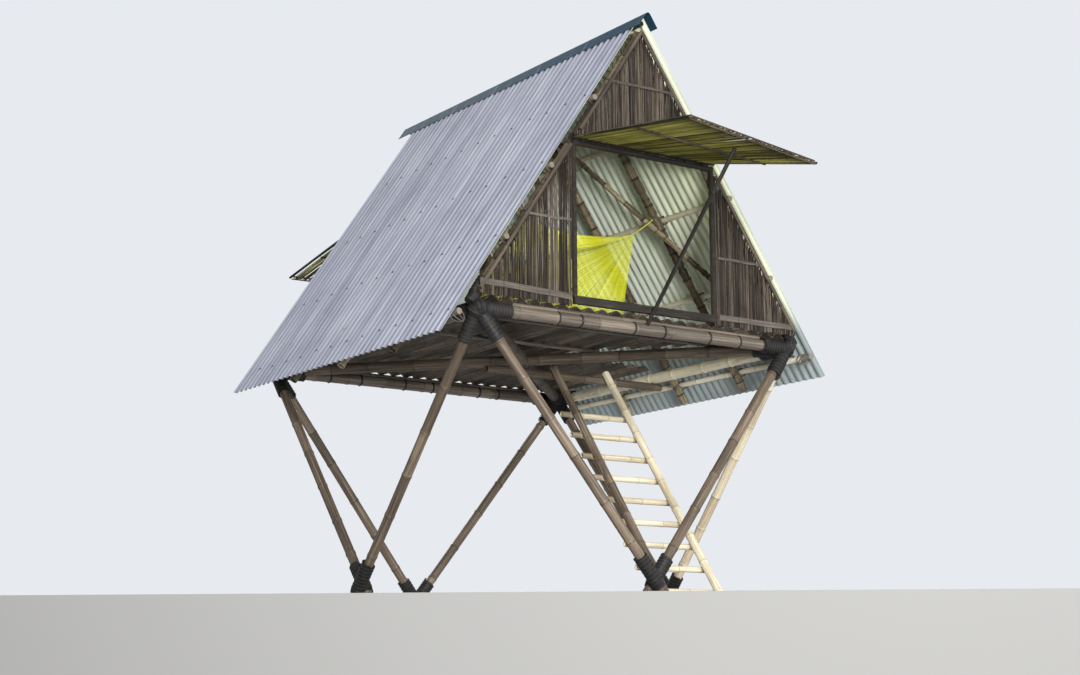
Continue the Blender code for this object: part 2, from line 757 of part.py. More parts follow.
def make_gable_panels():
    """Reed panels beside and over each opening. The back gable is the front one turned round."""
    left = OPENING_LEFT - POST_DIAMETER - SEAT_GAP
    right = OPENING_RIGHT + POST_DIAMETER + SEAT_GAP
    over = over_opening()
    outlines = {
        "left": side_panel_outline(-1, left),
        "right": side_panel_outline(1, right),
        "top": [
            (-panel_edge(over), over),
            (panel_edge(over), over),
            (0, panel_tip(0)),
        ],
    }
    for end, end_name in END_NAMES.items():
        for place, outline in outlines.items():
            panel = prism("panel", outline, -PANEL_FRONT, -PANEL_BACK)
            combine(panel, panel_battens(place) + rake_poles(place), "UNION")
            turn_for(end, panel)
            panel.name = f"gable_panel_{end_name}_{place}"
            finish(panel, "reed")


def side_panel_outline(side, inner):
    """A side panel: bottom edge, sloping edge under the purlins and upright edge beside the post."""
    return [
        (inner, PANEL_BOTTOM),
        (side * panel_edge(PANEL_BOTTOM), PANEL_BOTTOM),
        (inner, panel_tip(inner)),
    ]


def rake_poles(place):
    """Thin poles on a panel's outer face along its sloping edge, with a break for the flap's rim."""
    radius = RAKE_POLE_DIAMETER / 2
    offset = PURLIN_OFFSET + PURLIN_RADIUS + 2 * SEAT_GAP + radius
    break_low = opening_top()
    break_high = break_low + 2 * FLAP_RIM_RISE
    y = -PANEL_FRONT - radius / 2
    poles = []
    for side in {"top": (-1, 1), "left": (-1,), "right": (1,)}[place]:
        if place == "top":
            low = slope_point(side, slope_distance(break_high, offset), offset, y)
            high = slope_point(side, offset * tan(PITCH), offset, y)
        else:
            low = slope_point(side, slope_distance(PANEL_BOTTOM, offset) - radius * tan(PITCH), offset, y)
            post_face = side * {-1: OPENING_LEFT, 1: OPENING_RIGHT}[side] + POST_DIAMETER + SEAT_GAP
            clear = (post_face + (offset + radius) * sin(PITCH)) / cos(PITCH)
            high = slope_point(side, max(clear, slope_distance(break_low, offset)), offset, y)
        poles.append(rod("rake_pole", low, high, radius))
    return poles


def panel_battens(place):
    """The battens nailed to a panel's outer face, with the bottom rail of a side panel."""
    post = POST_DIAMETER + PANEL_THICKNESS
    spans = {
        "top": [(0, over_opening() + TOP_BATTEN_RISE, BATTEN_WIDTH)],
        "left": [(OPENING_LEFT - post, PANEL_BOTTOM + LEFT_BATTEN_RISE, BATTEN_WIDTH)],
        "right": [(OPENING_RIGHT + post, PANEL_BOTTOM + RIGHT_BATTEN_RISE, BATTEN_WIDTH)],
    }
    for side in ("left", "right"):
        spans[side].append((spans[side][0][0], PANEL_BOTTOM + RAIL_HEIGHT, RAIL_HEIGHT))
    battens = []
    for inner, height, width in spans[place]:
        outer = panel_edge(height + width / 2) - BATTEN_DEPTH
        ends = {"top": (-outer, outer), "left": (-outer, inner), "right": (inner, outer)}[place]
        low = (ends[0], -PANEL_FRONT - BATTEN_DEPTH, height - width / 2)
        high = (ends[1], -PANEL_FRONT + BATTEN_DEPTH / 2, height + width / 2)
        battens.append(block("batten", low, high))
    return battens


def turn_for(end, obj):
    """Turns a front piece half round, to make its fellow at the back."""
    if end > 0:
        obj.data.transform(obj.matrix_world)
        obj.matrix_world = Matrix.Rotation(pi, 4, "Z")


def make_opening_frames():
    """Sill, posts and head round each gable opening, as one frame."""
    for end, end_name in END_NAMES.items():
        y = -FRAME_PLANE
        radius = POST_DIAMETER / 2
        left = OPENING_LEFT - radius
        right = OPENING_RIGHT + radius
        head = opening_top() + HEAD_DIAMETER / 2
        sill_low = (left - radius / 2, y - SILL_DEPTH / 2, PANEL_BOTTOM)
        sill_high = (right + radius / 2, y + SILL_DEPTH / 2, OPENING_BOTTOM)
        sill = block("sill", sill_low, sill_high)
        overlap = CUT_OVERRUN / 2
        posts = []
        for x in (left, right):
            posts.append(rod("post", (x, y, OPENING_BOTTOM - overlap), (x, y, head), radius))
        beam = rod("head", (left - radius / 2, y, head), (right + radius / 2, y, head), HEAD_DIAMETER / 2)
        frame = combine(sill, posts + [beam], "UNION")
        turn_for(end, frame)
        frame.name = f"opening_frame_{end_name}"
        finish(frame, "dark_wood")


def flap_corners():
    """The flap's middle surface: inner left, inner right, outer right, outer left."""
    y = -PANEL_FRONT - SEAT_GAP - FLAP_RIM_DIAMETER / 2
    height = opening_top() + FLAP_RIM_RISE
    inner_left = Vector((OPENING_LEFT - FLAP_LEFT_LAP, y, height))
    inner_right = Vector((OPENING_RIGHT + FLAP_RIGHT_LAP, y, height))
    outer_left = inner_left - Vector((0, FLAP_LEFT_REACH, FLAP_LEFT_DROP))
    outer_right = inner_right - Vector((-FLAP_RIGHT_SPREAD, FLAP_RIGHT_REACH, FLAP_RIGHT_DROP))
    return inner_left, inner_right, outer_right, outer_left


def flap_point(across, out):
    """A point of the flap's middle surface, by its shares of the width and the reach."""
    inner_left, inner_right, outer_right, outer_left = flap_corners()
    inner = inner_left.lerp(inner_right, across)
    outer = outer_left.lerp(outer_right, across)
    return inner.lerp(outer, out)


def make_flaps():
    """A reed flap held open over each opening: rim pole, slightly twisted panel and batten."""
    steps = 6
    for end, end_name in END_NAMES.items():
        bm = bmesh.new()
        half = Vector((0, 0, FLAP_THICKNESS / 2))
        rows = []
        for index in range(steps + 1):
            across = index / steps
            inner = flap_point(across, 0)
            outer = flap_point(across, 1)
            rows.append([bm.verts.new(p) for p in (inner - half, inner + half, outer + half, outer - half)])
        for near, far in zip(rows, rows[1:]):
            skin(bm, near, far)
        bm.faces.new(rows[0])
        bm.faces.new(rows[-1])
        bmesh.ops.triangulate(bm, faces=bm.faces)
        flap = object_from(bm, "flap")
        overhang = Vector((FLAP_RIM_OVERHANG, 0, 0))
        rim = rod("rim", flap_point(0, 0) - overhang, flap_point(1, 0) + overhang, FLAP_RIM_DIAMETER / 2)
        drop = Vector((0, 0, FLAP_THICKNESS / 2 + FLAP_BATTEN_DIAMETER / 4))
        batten_start = flap_point(FLAP_BATTEN_INSET_SHARE, FLAP_BATTEN_SHARE) - drop
        batten_end = flap_point(1 - FLAP_BATTEN_INSET_SHARE, FLAP_BATTEN_SHARE) - drop
        batten = rod("batten", batten_start, batten_end, FLAP_BATTEN_DIAMETER / 2)
        combine(flap, [rim, batten], "UNION")
        turn_for(end, flap)
        flap.name = f"flap_{end_name}"
        finish(flap, "flap_reed")


def make_props():
    """A thin pole from the gable beam up to the underside of each flap."""
    radius = PROP_DIAMETER / 2
    for end, end_name in END_NAMES.items():
        head = flap_point(*PROP_HEAD_SHARES) - Vector((0, 0, FLAP_THICKNESS / 2))
        centre = Vector((PROP_FOOT_X, -HALF_LENGTH, NODE_HEIGHT))
        foot = along(centre, Vector((PROP_FOOT_X, head.y, head.z)), BEAM_RADIUS + SEAT_GAP)
        lean = (head - foot).normalized()
        corner_rise = radius * (1 - lean.z ** 2) ** 0.5
        head = along(head, foot, (corner_rise + 2 * SEAT_GAP) / lean.z)
        prop = rod("prop", foot, head, radius)
        turn_for(end, prop)
        prop.name = f"flap_prop_{end_name}"
        finish(prop, "dark_wood")


def make_ladder():
    """Two bamboo rails with rungs bedded on their far side."""
    radius = RAIL_DIAMETER / 2
    lean = atan2(1, LADDER_RUN_SHARE)
    top = ladder_top_height()
    rails = []
    for x in (LADDER_LEFT, LADDER_RIGHT):
        low = Vector((x, ladder_line(-RAIL_DIAMETER), -RAIL_DIAMETER))
        high = Vector((x, ladder_line(top), top))
        rails.append(bamboo("rail", low, high, radius, RAIL_DIAMETER, RAIL_DIAMETER))
    back = radius + RUNG_DIAMETER / 2 - RUNG_BEDDING
    count = int((top - RUNG_TOP_MARGIN - RUNG_FIRST_HEIGHT) // RUNG_SPACING) + 1
    rungs = []
    for index in range(count):
        height = RUNG_FIRST_HEIGHT + RUNG_SPACING * index
        y = ladder_line(height) + back * sin(lean)
        z = height - back * cos(lean)
        start = (LADDER_LEFT - radius - RUNG_LEFT_STUB, y, z)
        end = (LADDER_RIGHT + radius + RUNG_RIGHT_STUB, y, z)
        rungs.append(rod("rung", start, end, RUNG_DIAMETER / 2))
    ladder = combine(rails[0], rails[1:] + rungs, "UNION")
    trim_below(ladder, 0)
    ladder.name = "ladder"
    finish(ladder, "bamboo")


def net_ring(bm, height, inset):
    """One rectangle of the net at a height, moved in from its outer face."""
    rise = (height - NET_BOTTOM) / NET_HEIGHT
    left = NET_BOTTOM_LEFT + (NET_TOP_LEFT - NET_BOTTOM_LEFT) * rise + inset
    right = NET_BOTTOM_RIGHT + (NET_TOP_RIGHT - NET_BOTTOM_RIGHT) * rise - inset
    reach = NET_BOTTOM_REACH + (NET_TOP_REACH - NET_BOTTOM_REACH) * rise - inset
    corners = ((left, -reach), (right, -reach), (right, reach), (left, reach))
    return [bm.verts.new((x, y, height)) for x, y in corners]


def make_net():
    """A mosquito net over the sleeping place: a thin shell, open below, hung by its corners."""
    bm = bmesh.new()
    outer_low = net_ring(bm, NET_BOTTOM, 0)
    outer_high = net_ring(bm, NET_TOP, 0)
    inner_low = net_ring(bm, NET_BOTTOM, NET_THICKNESS)
    inner_high = net_ring(bm, NET_TOP - NET_THICKNESS, NET_THICKNESS)
    for first, second in ((outer_low, outer_high), (inner_high, inner_low), (inner_low, outer_low)):
        skin(bm, first, second)
    bm.faces.new(outer_high)
    bm.faces.new(inner_high)
    net = object_from(bm, "net")
    strings = []
    for x, y in ((NET_TOP_LEFT, -1), (NET_TOP_RIGHT, -1), (NET_TOP_RIGHT, 1), (NET_TOP_LEFT, 1)):
        inset = NET_STRING_DIAMETER
        side = 1 if x > 0 else -1
        start = Vector((x - side * inset, y * (NET_TOP_REACH - inset), NET_TOP - NET_THICKNESS / 2))
        strings.append(net_string(side, y, start))
    combine(net, strings, "UNION")
    net.name = "mosquito_net"
    finish(net, "net")


def net_string(side, end, start):
    """A string from a corner of the net to the inner face of the nearest rafter."""
    rafter_y = end * RAFTER_SPACING
    height = NET_TOP + NET_STRING_RISE
    reach = slope_x(height, RAFTER_OFFSET + RAFTER_RADIUS + SEAT_GAP)
    target = Vector((side * reach, rafter_y, height))
    normal = Vector((side * sin(PITCH), 0, cos(PITCH)))
    facing = (target - start).normalized().dot(normal)
    rim_lift = NET_STRING_DIAMETER / 2 * (1 - facing ** 2) ** 0.5
    return rod("string", start, along(target, start, rim_lift / facing), NET_STRING_DIAMETER / 2, STRING_SIDES)


def build():
    for obj in list(bpy.data.objects):
        bpy.data.objects.remove(obj)
    make_legs()
    make_foot_wraps()
    make_corner_joints()
    make_floor_beams()
    make_hatch_beam()
    make_deck()
    make_rafters()
    make_ridge_and_purlins()
    make_braces()
    make_roof_sheets()
    make_ridge_cap()
    make_gable_panels()
    make_opening_frames()
    make_flaps()
    make_props()
    make_ladder()
    make_net()


build()
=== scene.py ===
# Looks of the stilt house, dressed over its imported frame.
# Metres, +Z up, the same axes as the frame: X along the gable in view, Y along the ridge.
import random
from math import atan2, ceil, cos, pi, radians, sin, sqrt

import bmesh
import bpy
import numpy as np
from mathutils import Matrix, Vector
from mathutils.bvhtree import BVHTree


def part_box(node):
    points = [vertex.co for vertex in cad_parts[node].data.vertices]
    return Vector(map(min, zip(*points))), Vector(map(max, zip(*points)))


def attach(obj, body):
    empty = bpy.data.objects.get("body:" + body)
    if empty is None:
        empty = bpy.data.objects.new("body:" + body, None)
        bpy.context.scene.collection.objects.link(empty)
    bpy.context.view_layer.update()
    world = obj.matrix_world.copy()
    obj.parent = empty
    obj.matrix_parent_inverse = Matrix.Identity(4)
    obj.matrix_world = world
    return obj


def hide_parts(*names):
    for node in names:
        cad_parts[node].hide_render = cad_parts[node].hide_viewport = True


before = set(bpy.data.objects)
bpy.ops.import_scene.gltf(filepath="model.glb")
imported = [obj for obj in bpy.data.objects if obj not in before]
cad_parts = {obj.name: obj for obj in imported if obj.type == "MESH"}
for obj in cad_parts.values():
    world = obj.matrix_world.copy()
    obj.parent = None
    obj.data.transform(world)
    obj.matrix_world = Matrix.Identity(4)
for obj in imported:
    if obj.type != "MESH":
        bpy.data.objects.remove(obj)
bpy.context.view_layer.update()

# Camera, fitted to the photograph's 1080 by 675 frame
PHOTO_WIDTH = 1080
FOCAL_PIXELS = 1877.5
SENSOR_WIDTH = 36
CAMERA_PLACE = (-7.92, -11.61, -0.70)
CAMERA_YAW = 0.6078
CAMERA_PITCH = 0.19
CAMERA_ROLL = -0.0066

# Stage
FLOOR_EDGE_DISTANCE = 12.62
FLOOR_DEPTH = 22
FLOOR_HALF_WIDTH = 14
FLOOR_THICKNESS = 1.2
FLOOR_PAINTS = (("floor_paint", (0.56, 0.56, 0.555, 1)), ("floor_edge_paint", (0.27, 0.27, 0.268, 1)))

# Lamps: name, place, target, size, power, colour
LIGHTS = (
    ("key", (-6.5, -15, 6.5), (0, 0, 2.4), 4, 2100, (1.0, 0.98, 0.95)),
    ("low", (-4.5, -12.5, 0.9), (0.3, 0, 2.7), 3, 1700, (1.0, 0.99, 0.96)),
    ("fill", (8, -7, 2.5), (0, 0, 2), 6, 350, (0.95, 0.97, 1.0)),
    ("back", (3, 9, 8), (0, 0, 2), 6, 900, (1.0, 1.0, 1.0)),
)

WORLD_COLOUR = (0.93, 0.95, 1.0, 1)
WORLD_STRENGTH = 0.31
BACKDROP_COLOUR = (0.80, 0.83, 0.87, 1)

# What repeats at both gables, on both slopes and at the four corners, as signs of Y and X
ENDS = ((-1, "front"), (1, "back"))
SIDES = ((-1, "left"), (1, "right"))
CORNERS = ((-1, -1), (1, -1), (1, 1), (-1, 1))
RAFTER_PAIR_COUNT = 5
PURLIN_COUNT = 4

# Measuring: how near a pole's end a point counts as on it, and how far outside a box a ray starts
END_TOLERANCE = 0.001
RAY_START = 1

# Bamboo
POLE_SIDES = 18
THIN_POLE_SIDES = 12
STICK_SIDES = 8
THIN_POLE_RADIUS = 0.025
UPRIGHT_SHARE = 0.99
GRAIN_SHIFT = 3
NODE_SPACING = 0.33
THIN_NODE_SPACING = 0.24
FIRST_NODE_SHARES = (0.35, 0.8)
NODE_STEP_SHARES = (0.86, 1.14)
LAST_NODE_SHARE = 0.25
NODE_PROUD_SHARE = 0.085
NODE_WIDTH_SHARE = 0.2
NODE_LEAST_WIDTH = 0.006
NODE_REACH = 4
# A node's profile up to its line and past it: place in node widths, share of the radius, share of the
# ridge's height, ring mark
NODE_BELOW = (
    (-NODE_REACH, 0.985, 0, 0), (-1.4, 1, 0.25, 0.1), (-0.7, 1, 0.9, 0.25), (-0.15, 1, 0.2, 1),
    (0.45, 1, 1, 0.35),
)
NODE_ABOVE = ((1.3, 1, 0.15, 0.15), (NODE_REACH, 0.985, 0, 0))
ROUGH_CULM = {"knobs": 2.6, "spacing": 0.22, "lumps": 0.2, "spread": 0.32}
ROUGH_BEND = 0.008
LUMP_STEP_SHARE = 0.8
TONE_SPREAD = 0.16
TONE_MARGIN = 0.05
CULM_END_SHARE = 0.99
# Painted shade on darkened culm ends fades out at this many times its length
END_SHADE_FADE = 1.3
LEG_BENDS = (0.001, 0.004)
RAFTER_OVERRUN = 0.04
WALL_SHARE = 0.74
HOLLOW_DEPTH = 0.06
# Painted shade inside open ends: ring marks at the hollow's floor and mouth, darker deeper in
HOLLOW_SHADE_MARK = 0.6
MOUTH_SHADE_MARK = 0.1
# Ring mark of the painted shade on darkened ends
END_SHADE_MARK = 0.9
FOOT_CUT_OVERRUN = 0.12
# Painted shade on the purlins' ends, outside the lamp-lit room
PURLIN_END_SHADE = 0.09
PALE_LEG = "leg_front_right_to_right_foot"
# Straight poles by the start of their node's name: look, slot, open ends, tone
POLE_KINDS = {
    # The right floor beam's pale look and high tone are painted lamp light
    "floor_beam_right": ("pale", "dry_bamboo", (False, False), 0.9),
    "floor_beam": ("beam", "dry_bamboo", (False, False), 0.5),
    "floor_diagonal": ("edge", "dry_bamboo", (False, False), 0.55),
    "floor_half": ("edge", "dry_bamboo", (False, True), 0.45),
    # The hatch beam's near-black edge look is painted shade
    "hatch_beam": ("edge", "bamboo", (True, True), 0.6),
    "ridge_pole": ("edge", "bamboo", (True, True), 0.45),
    # The purlins' look and high tone are painted lamp light
    "purlin": ("purlin", "bamboo", (False, False), 0.68),
    "roof_brace": ("rafter", "bamboo", (True, True), 0.6),
    "flap_prop": ("dark", "dark_wood", (False, False), 0.4),
}

# Wraps of rubber strip
SLEEVE_LENGTH = 0.25
SLEEVE_WALL = 0.009
RAFTER_SOCKET_LENGTH = 0.20
SOCKET_WALL = 0.010
KNOT_RADIUS = 0.063
STRIP_WIDTH = 0.034
STRIP_PITCH = 0.027
STRIP_THICKNESS = 0.003
WRAP_STEPS = 16
SLEEVE_FLAT_SHARE = cos(pi / 10)
PITCH_SHARES = (0.85, 1.1)
KNOT_TURNS = 6
KNOT_SIZE_SHARES = (0.93, 1.0)
FOOT_STRIP_LOW_SHARE = 0.8
FOOT_STRIP_HIGH_SHARE = 0.4
BEAM_BAND_PLACES = (-0.72, -0.53, -0.075, 0.19, 0.60, 0.88)
BEAM_BAND_WIDTH = 0.016
BAND_CLEARANCE = 0.0005

# Cord where rafters cross purlins
TIE_RADIUS = 0.0028
TIE_GAP = 0.008
TIE_SLANTS = (0.8, 1.1)
TIE_STEPS = 18
TIE_CLEARANCE = 0.004
TIE_BEDDING = 0.0005
TIE_WIDTH_SHARE = 1.45

# Roof
WAVE_PITCH = 0.0762
WAVE_DEPTH = 0.018
SHEET_THICKNESS = 0.0015
SHEET_COUNT = 5
NAIL_RADIUS = 0.009
NAIL_RISE = 0.005
NAIL_EVERY = 3
NAIL_DRIFT = 0.012
# A nail head's profile: height over the crest, share of the nail's radius
NAIL_PROFILE = ((-0.002, 1.25), (0.0012, 1.2), (NAIL_RISE * 0.7, 0.8), (NAIL_RISE, 0.25))
LAP_STEPS = 6
LAP_ROW_LENGTH = 0.5
LAP_TOP_DROP = 0.012
LAP_END_CUT = 0.035
LAP_LOW_LIFT = 0.0006
LAP_HIGH_LIFT = 0.0026
LAP_WAVE_SHARES = (-0.25, 0.5)
SHEET_SEED = 20
# Painted lamp light: undersides turn from greenish yellow to cyan between these places along the ridge
UNDERSIDE_LIGHT_PLACES = (-1.2, 1.0)
# Painted shade: undersides darken to this colour below these heights, out of the room lamp's reach
EAVE_PAINTED_SHADE = (0.29, 0.35, 0.33)
EAVE_SHADE_HEIGHTS = (1.95, 2.2)

# Gables
REED_PITCH = 0.0098
REED_RADIUS = 0.0052
REED_GAP_SHARE = 0.03
REED_RAGGED = 0.005
REED_DROP = 0.024
REED_SLIT_COUNT = 5
REED_LEANING_SHARE = 0.16
REED_LEAN = 0.006
REED_STRONG_LEAN = 0.04
REED_SWAY = 0.004
REED_DEPTH_JITTER = 0.0015
REED_TOP_RAGGED = 0.035
REED_TONE_SPREAD = 0.15
REED_STEP_SHARES = (0.72, 1.22)
REED_SIZE_SHARES = (0.75, 1.15)
REED_DROP_SHARES = (0.4, 1)
REED_WAVER_SHARES = (0.93, 1.07)
REED_SQUASH_SHARES = (0.7, 1.0)
REED_TAPER_SHARE = 0.25
REED_JOINT_MARK = 0.45
REED_SIDES = 6
CLUMP_TONE_SPREAD = 0.17
CLUMP_SIZES = (2, 6)
REED_TONE_MARGIN = 0.02
REED_LEAST_STRETCH_SHARE = 0.03
SLIT_LENGTHS = (0.08, 0.30)
SLIT_HEIGHT_SHARES = (0.05, 0.6)
SLIT_WIDTH_SHARES = (0.6, 1.1)
PANEL_THICKNESS = 0.018
BATTEN_DEPTH = 0.012
LEFT_BATTEN_HEIGHT = 2.51
RIGHT_BATTEN_HEIGHT = 2.41
TOP_BATTEN_HEIGHT = 3.5722
RAIL_HEIGHT = 0.042
LEFT_RAIL_TILT = 0.028
BATTEN_HALF_HEIGHT = 0.010
BATTEN_STEPS = 7
BATTEN_WANDER = 0.004
BATTEN_WAVER = 0.002
RAKE_RADIUS = 0.014
STITCH_SPACING = 0.13
STITCH_RADIUS = 0.0017
STITCH_STEPS = 12
STITCH_CLEARANCE = 0.003
SEAT_GAP = 0.0003

# Flaps
FLAP_THICKNESS = 0.020
FLAP_REED_PITCH = 0.0115
FLAP_REED_RADIUS = 0.0058
FLAP_STICKS = ((0.54, -1, 0.008), (0.985, -1, 0.005), (0.28, 1, 0.006), (0.985, 1, 0.006))
FLAP_SIDE_RADIUS = 0.0095
FLAP_RAGGED_SHARE = 0.018
FLAP_INNER_LEFT = (-0.605, -1.5366, 3.1073)
FLAP_INNER_RIGHT = (0.612, -1.5366, 3.1073)
FLAP_OUTER_RIGHT = (0.69, -2.57, 2.8673)
FLAP_OUTER_LEFT = (-0.605, -2.77, 2.9273)
FLAP_RIM_RADIUS = 0.018
FLAP_RIM_OVERHANG = 0.022
FLAP_RIM_NODE_SPACING = 0.28
FLAP_STICK_NODE_SPACING = 0.3
FLAP_STICK_SHARES = (0.02, 0.98)
FLAP_SIDE_SHARES = (0.008, 0.992)
FLAP_SIDE_REACH_SHARE = 0.99
FLAP_REED_MARGIN_SHARE = 0.005
FLAP_REED_SPREAD_SHARE = 0.008
FLAP_REED_JITTER = 0.0012
FLAP_TONE_SPREAD = 0.27
FLAP_REED_LIFT_SHARE = 0.75
FLAP_REED_SIZE_SHARES = (0.65, 1.15)
FLAP_REED_STEP_SHARES = (0.6, 1.3 / 1.2)
FLAP_REED_STEPS = 6
FLAP_STICK_TONE = 0.35
FLAP_STICK_SINK_SHARE = 0.35

# Floor slats and joists
SLAT_PITCH = 0.115
SLAT_THICKNESS = 0.009
SLAT_GAP = 0.004
SLAT_RISE = 0.032
SLAT_STEPS = 10
SLAT_WIDTH_SHARES = (0.95, 1.0)
SLAT_RISE_SHARES = (0.82, 1.0)
SLAT_TONE_SPREAD = 0.15
SLAT_END_MARK = 0.8
SLAT_RAGGED = 0.014
SLAT_NODE_HALF_WIDTH = 0.014
SLAT_NODE_RISE = 0.0022
SLAT_NODE_MARGIN = 0.03
SLAT_SCAN_STEP = 0.01
DECK_SIDE_INSET = 0.045
JOIST_RADIUS = 0.0145
JOIST_NODE_SPACING = 0.26
JOIST_LEVEL = 0.006
JOIST_SCAN_INSET = 0.5
JOIST_Y_STEP = 0.002
JOIST_X_STEP = 0.004
JOIST_LEAST_LENGTH = 0.05
DECK_CLEAR_Y = 0.1

# Ladder
LADDER_LEFT = 0.345
LADDER_RIGHT = 0.845
LADDER_RUN_SHARE = 0.7435
RAIL_RADIUS = 0.030
RUNG_RADIUS = 0.022
RUNG_COUNT = 9
RUNG_FIRST_HEIGHT = 0.06
RUNG_SPACING = 0.1725
RUNG_BEDDING = 0.009
RAIL_NODE_SPACING = 0.25
RAIL_BEND = 0.002
RAIL_REACH_SHARE = 1.2

# Net
NET_TOP_LEFT = -0.62
NET_TOP_RIGHT = 0.40
NET_BOTTOM_LEFT = -1.04
NET_BOTTOM_RIGHT = 0.22
NET_TOP_REACH = 0.90
NET_BOTTOM_REACH = 0.95
NET_TOP_HEIGHT = 2.68
NET_SAG = 0.055
NET_FOLD = 0.013
NET_FOLD_COUNT = 15
NET_FOLD_REACH = 1.5
NET_INSET = 0.004
NET_COLUMNS = 96
NET_ROWS = 40
NET_STRING_RADIUS = 0.004
NET_STRING_STEPS = 6
NET_STRING_SAG = 0.006
NET_STRING_INSET = 0.016
NET_STRING_REACH = 0.05
NET_WELD = 0.0015
NET_HEM_GAP = 0.0009
NET_FOLD_FADE = 0.25

# Relief of each surface, as bump distance
BARK_RELIEF = 0.0012
WOOD_RELIEF = 0.0015
PLANK_RELIEF = 0.002
METAL_RELIEF = 0.004

# Culm looks: name, then dark, base and pale bark, node colour, stain, gloss and specular level
CULM_LOOKS = {
    "leg": ("leg_bamboo", (0.032, 0.023, 0.016), (0.094, 0.069, 0.047), (0.240, 0.190, 0.135),
            (0.022, 0.016, 0.012), (0.038, 0.028, 0.020), 0.45, 0.35),
    "beam": ("beam_bamboo", (0.043, 0.033, 0.025), (0.107, 0.087, 0.066), (0.22, 0.183, 0.142),
             (0.03, 0.022, 0.016), (0.060, 0.045, 0.032), 0.45, 0.45),
    "rafter": ("rafter_bamboo", (0.035, 0.026, 0.014), (0.135, 0.104, 0.060), (0.42, 0.35, 0.235),
               (0.018, 0.013, 0.008), (0.045, 0.034, 0.019), 0.5, 0.3),
    # Painted shade: the edge look's near-black stands for poles in shade, the gable rafters, rakes and hatch
    # beam among them
    "edge": ("edge_bamboo", (0.020, 0.015, 0.011), (0.062, 0.047, 0.033), (0.150, 0.120, 0.088),
             (0.014, 0.010, 0.008), (0.026, 0.019, 0.013), 0.55, 0.3),
    # Painted lamp light: the purlins' pale cream and orange stain stand for the room's lamp lighting them
    "purlin": ("lamp_lit_purlin_bamboo", (0.42, 0.33, 0.20), (0.68, 0.60, 0.44), (0.82, 0.77, 0.64),
               (0.035, 0.026, 0.018), (0.40, 0.28, 0.14), 0.42, 0.45),
    # Painted lamp light: the pale look's cream stands for lamp light on the right floor beam; one leg takes it
    # too
    "pale": ("pale_bamboo", (0.30, 0.235, 0.15), (0.52, 0.445, 0.315), (0.70, 0.64, 0.49),
             (0.035, 0.026, 0.018), (0.22, 0.17, 0.11), 0.42, 0.45),
    "ladder": ("ladder_bamboo", (0.33, 0.28, 0.18), (0.57, 0.50, 0.36), (0.76, 0.70, 0.55),
               (0.14, 0.105, 0.07), (0.36, 0.30, 0.19), 0.38, 0.45),
    "slats": ("split_bamboo", (0.028, 0.021, 0.015), (0.078, 0.061, 0.043), (0.185, 0.150, 0.105),
              (0.018, 0.013, 0.010), (0.034, 0.026, 0.018), 0.55, 0.3),
    # Painted shade: the gable reeds are near-black, for gables that stand in shade beside the lit room
    "reed": ("gable_reed", (0.010, 0.008, 0.006), (0.038, 0.030, 0.025), (0.120, 0.098, 0.079),
             (0.012, 0.009, 0.007), (0.026, 0.020, 0.016), 0.65, 0.12),
    "flap": ("flap_reed", (0.050, 0.045, 0.010), (0.245, 0.225, 0.048), (0.50, 0.465, 0.115),
             (0.035, 0.028, 0.012), (0.10, 0.086, 0.022), 0.6, 0.25),
    "flap_top": ("weathered_reed", (0.040, 0.034, 0.018), (0.130, 0.114, 0.062), (0.26, 0.235, 0.150),
                 (0.035, 0.028, 0.016), (0.07, 0.058, 0.034), 0.65, 0.2),
    "dark": ("dark_pole", (0.008, 0.007, 0.006), (0.024, 0.020, 0.017), (0.065, 0.053, 0.044),
             (0.008, 0.006, 0.005), (0.016, 0.013, 0.011), 0.65, 0.15),
}
# Plain wood and cord looks: name, then dark, base and pale
WOOD_LOOKS = {
    "cord": ("tie_cord", (0.02, 0.017, 0.014), (0.055, 0.045, 0.035), (0.13, 0.11, 0.085)),
    "wood": ("split_strip", (0.028, 0.022, 0.018), (0.070, 0.058, 0.047), (0.155, 0.132, 0.108)),
    "net_string": ("net_string", (0.45, 0.50, 0.02), (0.78, 0.82, 0.03), (0.92, 0.95, 0.15)),
}
CAP_UNDERSIDE = (0.012, 0.045, 0.070)


def points_of(node):
    """The points of a CAD node, as rows of an array."""
    return np.array([v.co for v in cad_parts[node].data.vertices], float)


def linked(name, data):
    """A new object in the scene."""
    obj = bpy.data.objects.new(name, data)
    bpy.context.scene.collection.objects.link(obj)
    return obj


def write_mesh(bm, mesh):
    """Puts finished geometry into a mesh, with its faces turned outwards."""
    bmesh.ops.recalc_face_normals(bm, faces=bm.faces)
    bm.to_mesh(mesh)
    bm.free()


def held_inside(share, margin):
    """A share kept away from both its ends."""
    return min(1 - margin, max(margin, share))


def axis_of(node):
    """The ends of a straight pole's axis and its radius, measured from its CAD node."""
    points = points_of(node)
    middle = points.mean(0)
    direction = np.linalg.svd(points - middle, full_matrices=False)[2][0]
    for _ in range(2):
        places = (points - middle) @ direction
        low = points[places < places.min() + END_TOLERANCE]
        high = points[places > places.max() - END_TOLERANCE]
        start = (low.min(0) + low.max(0)) / 2
        end = (high.min(0) + high.max(0)) / 2
        direction = (end - start) / np.linalg.norm(end - start)
    return Vector(start), Vector(end), float(np.linalg.norm(high - end, axis=1).max())


def leg_axis_of(node):
    """A leg's axis from the ground up, and its radius, measured at its square-cut upper end."""
    points = points_of(node)
    ground = points[points[:, 2] < END_TOLERANCE]
    bottom = (ground.min(0) + ground.max(0)) / 2
    top = points[points[:, 2].argmax()]
    for _ in range(4):
        places = points @ ((top - bottom) / np.linalg.norm(top - bottom))
        ring = points[places > places.max() - END_TOLERANCE]
        top = (ring.min(0) + ring.max(0)) / 2
    return Vector(bottom), Vector(top), float(np.linalg.norm(ring - top, axis=1).max())


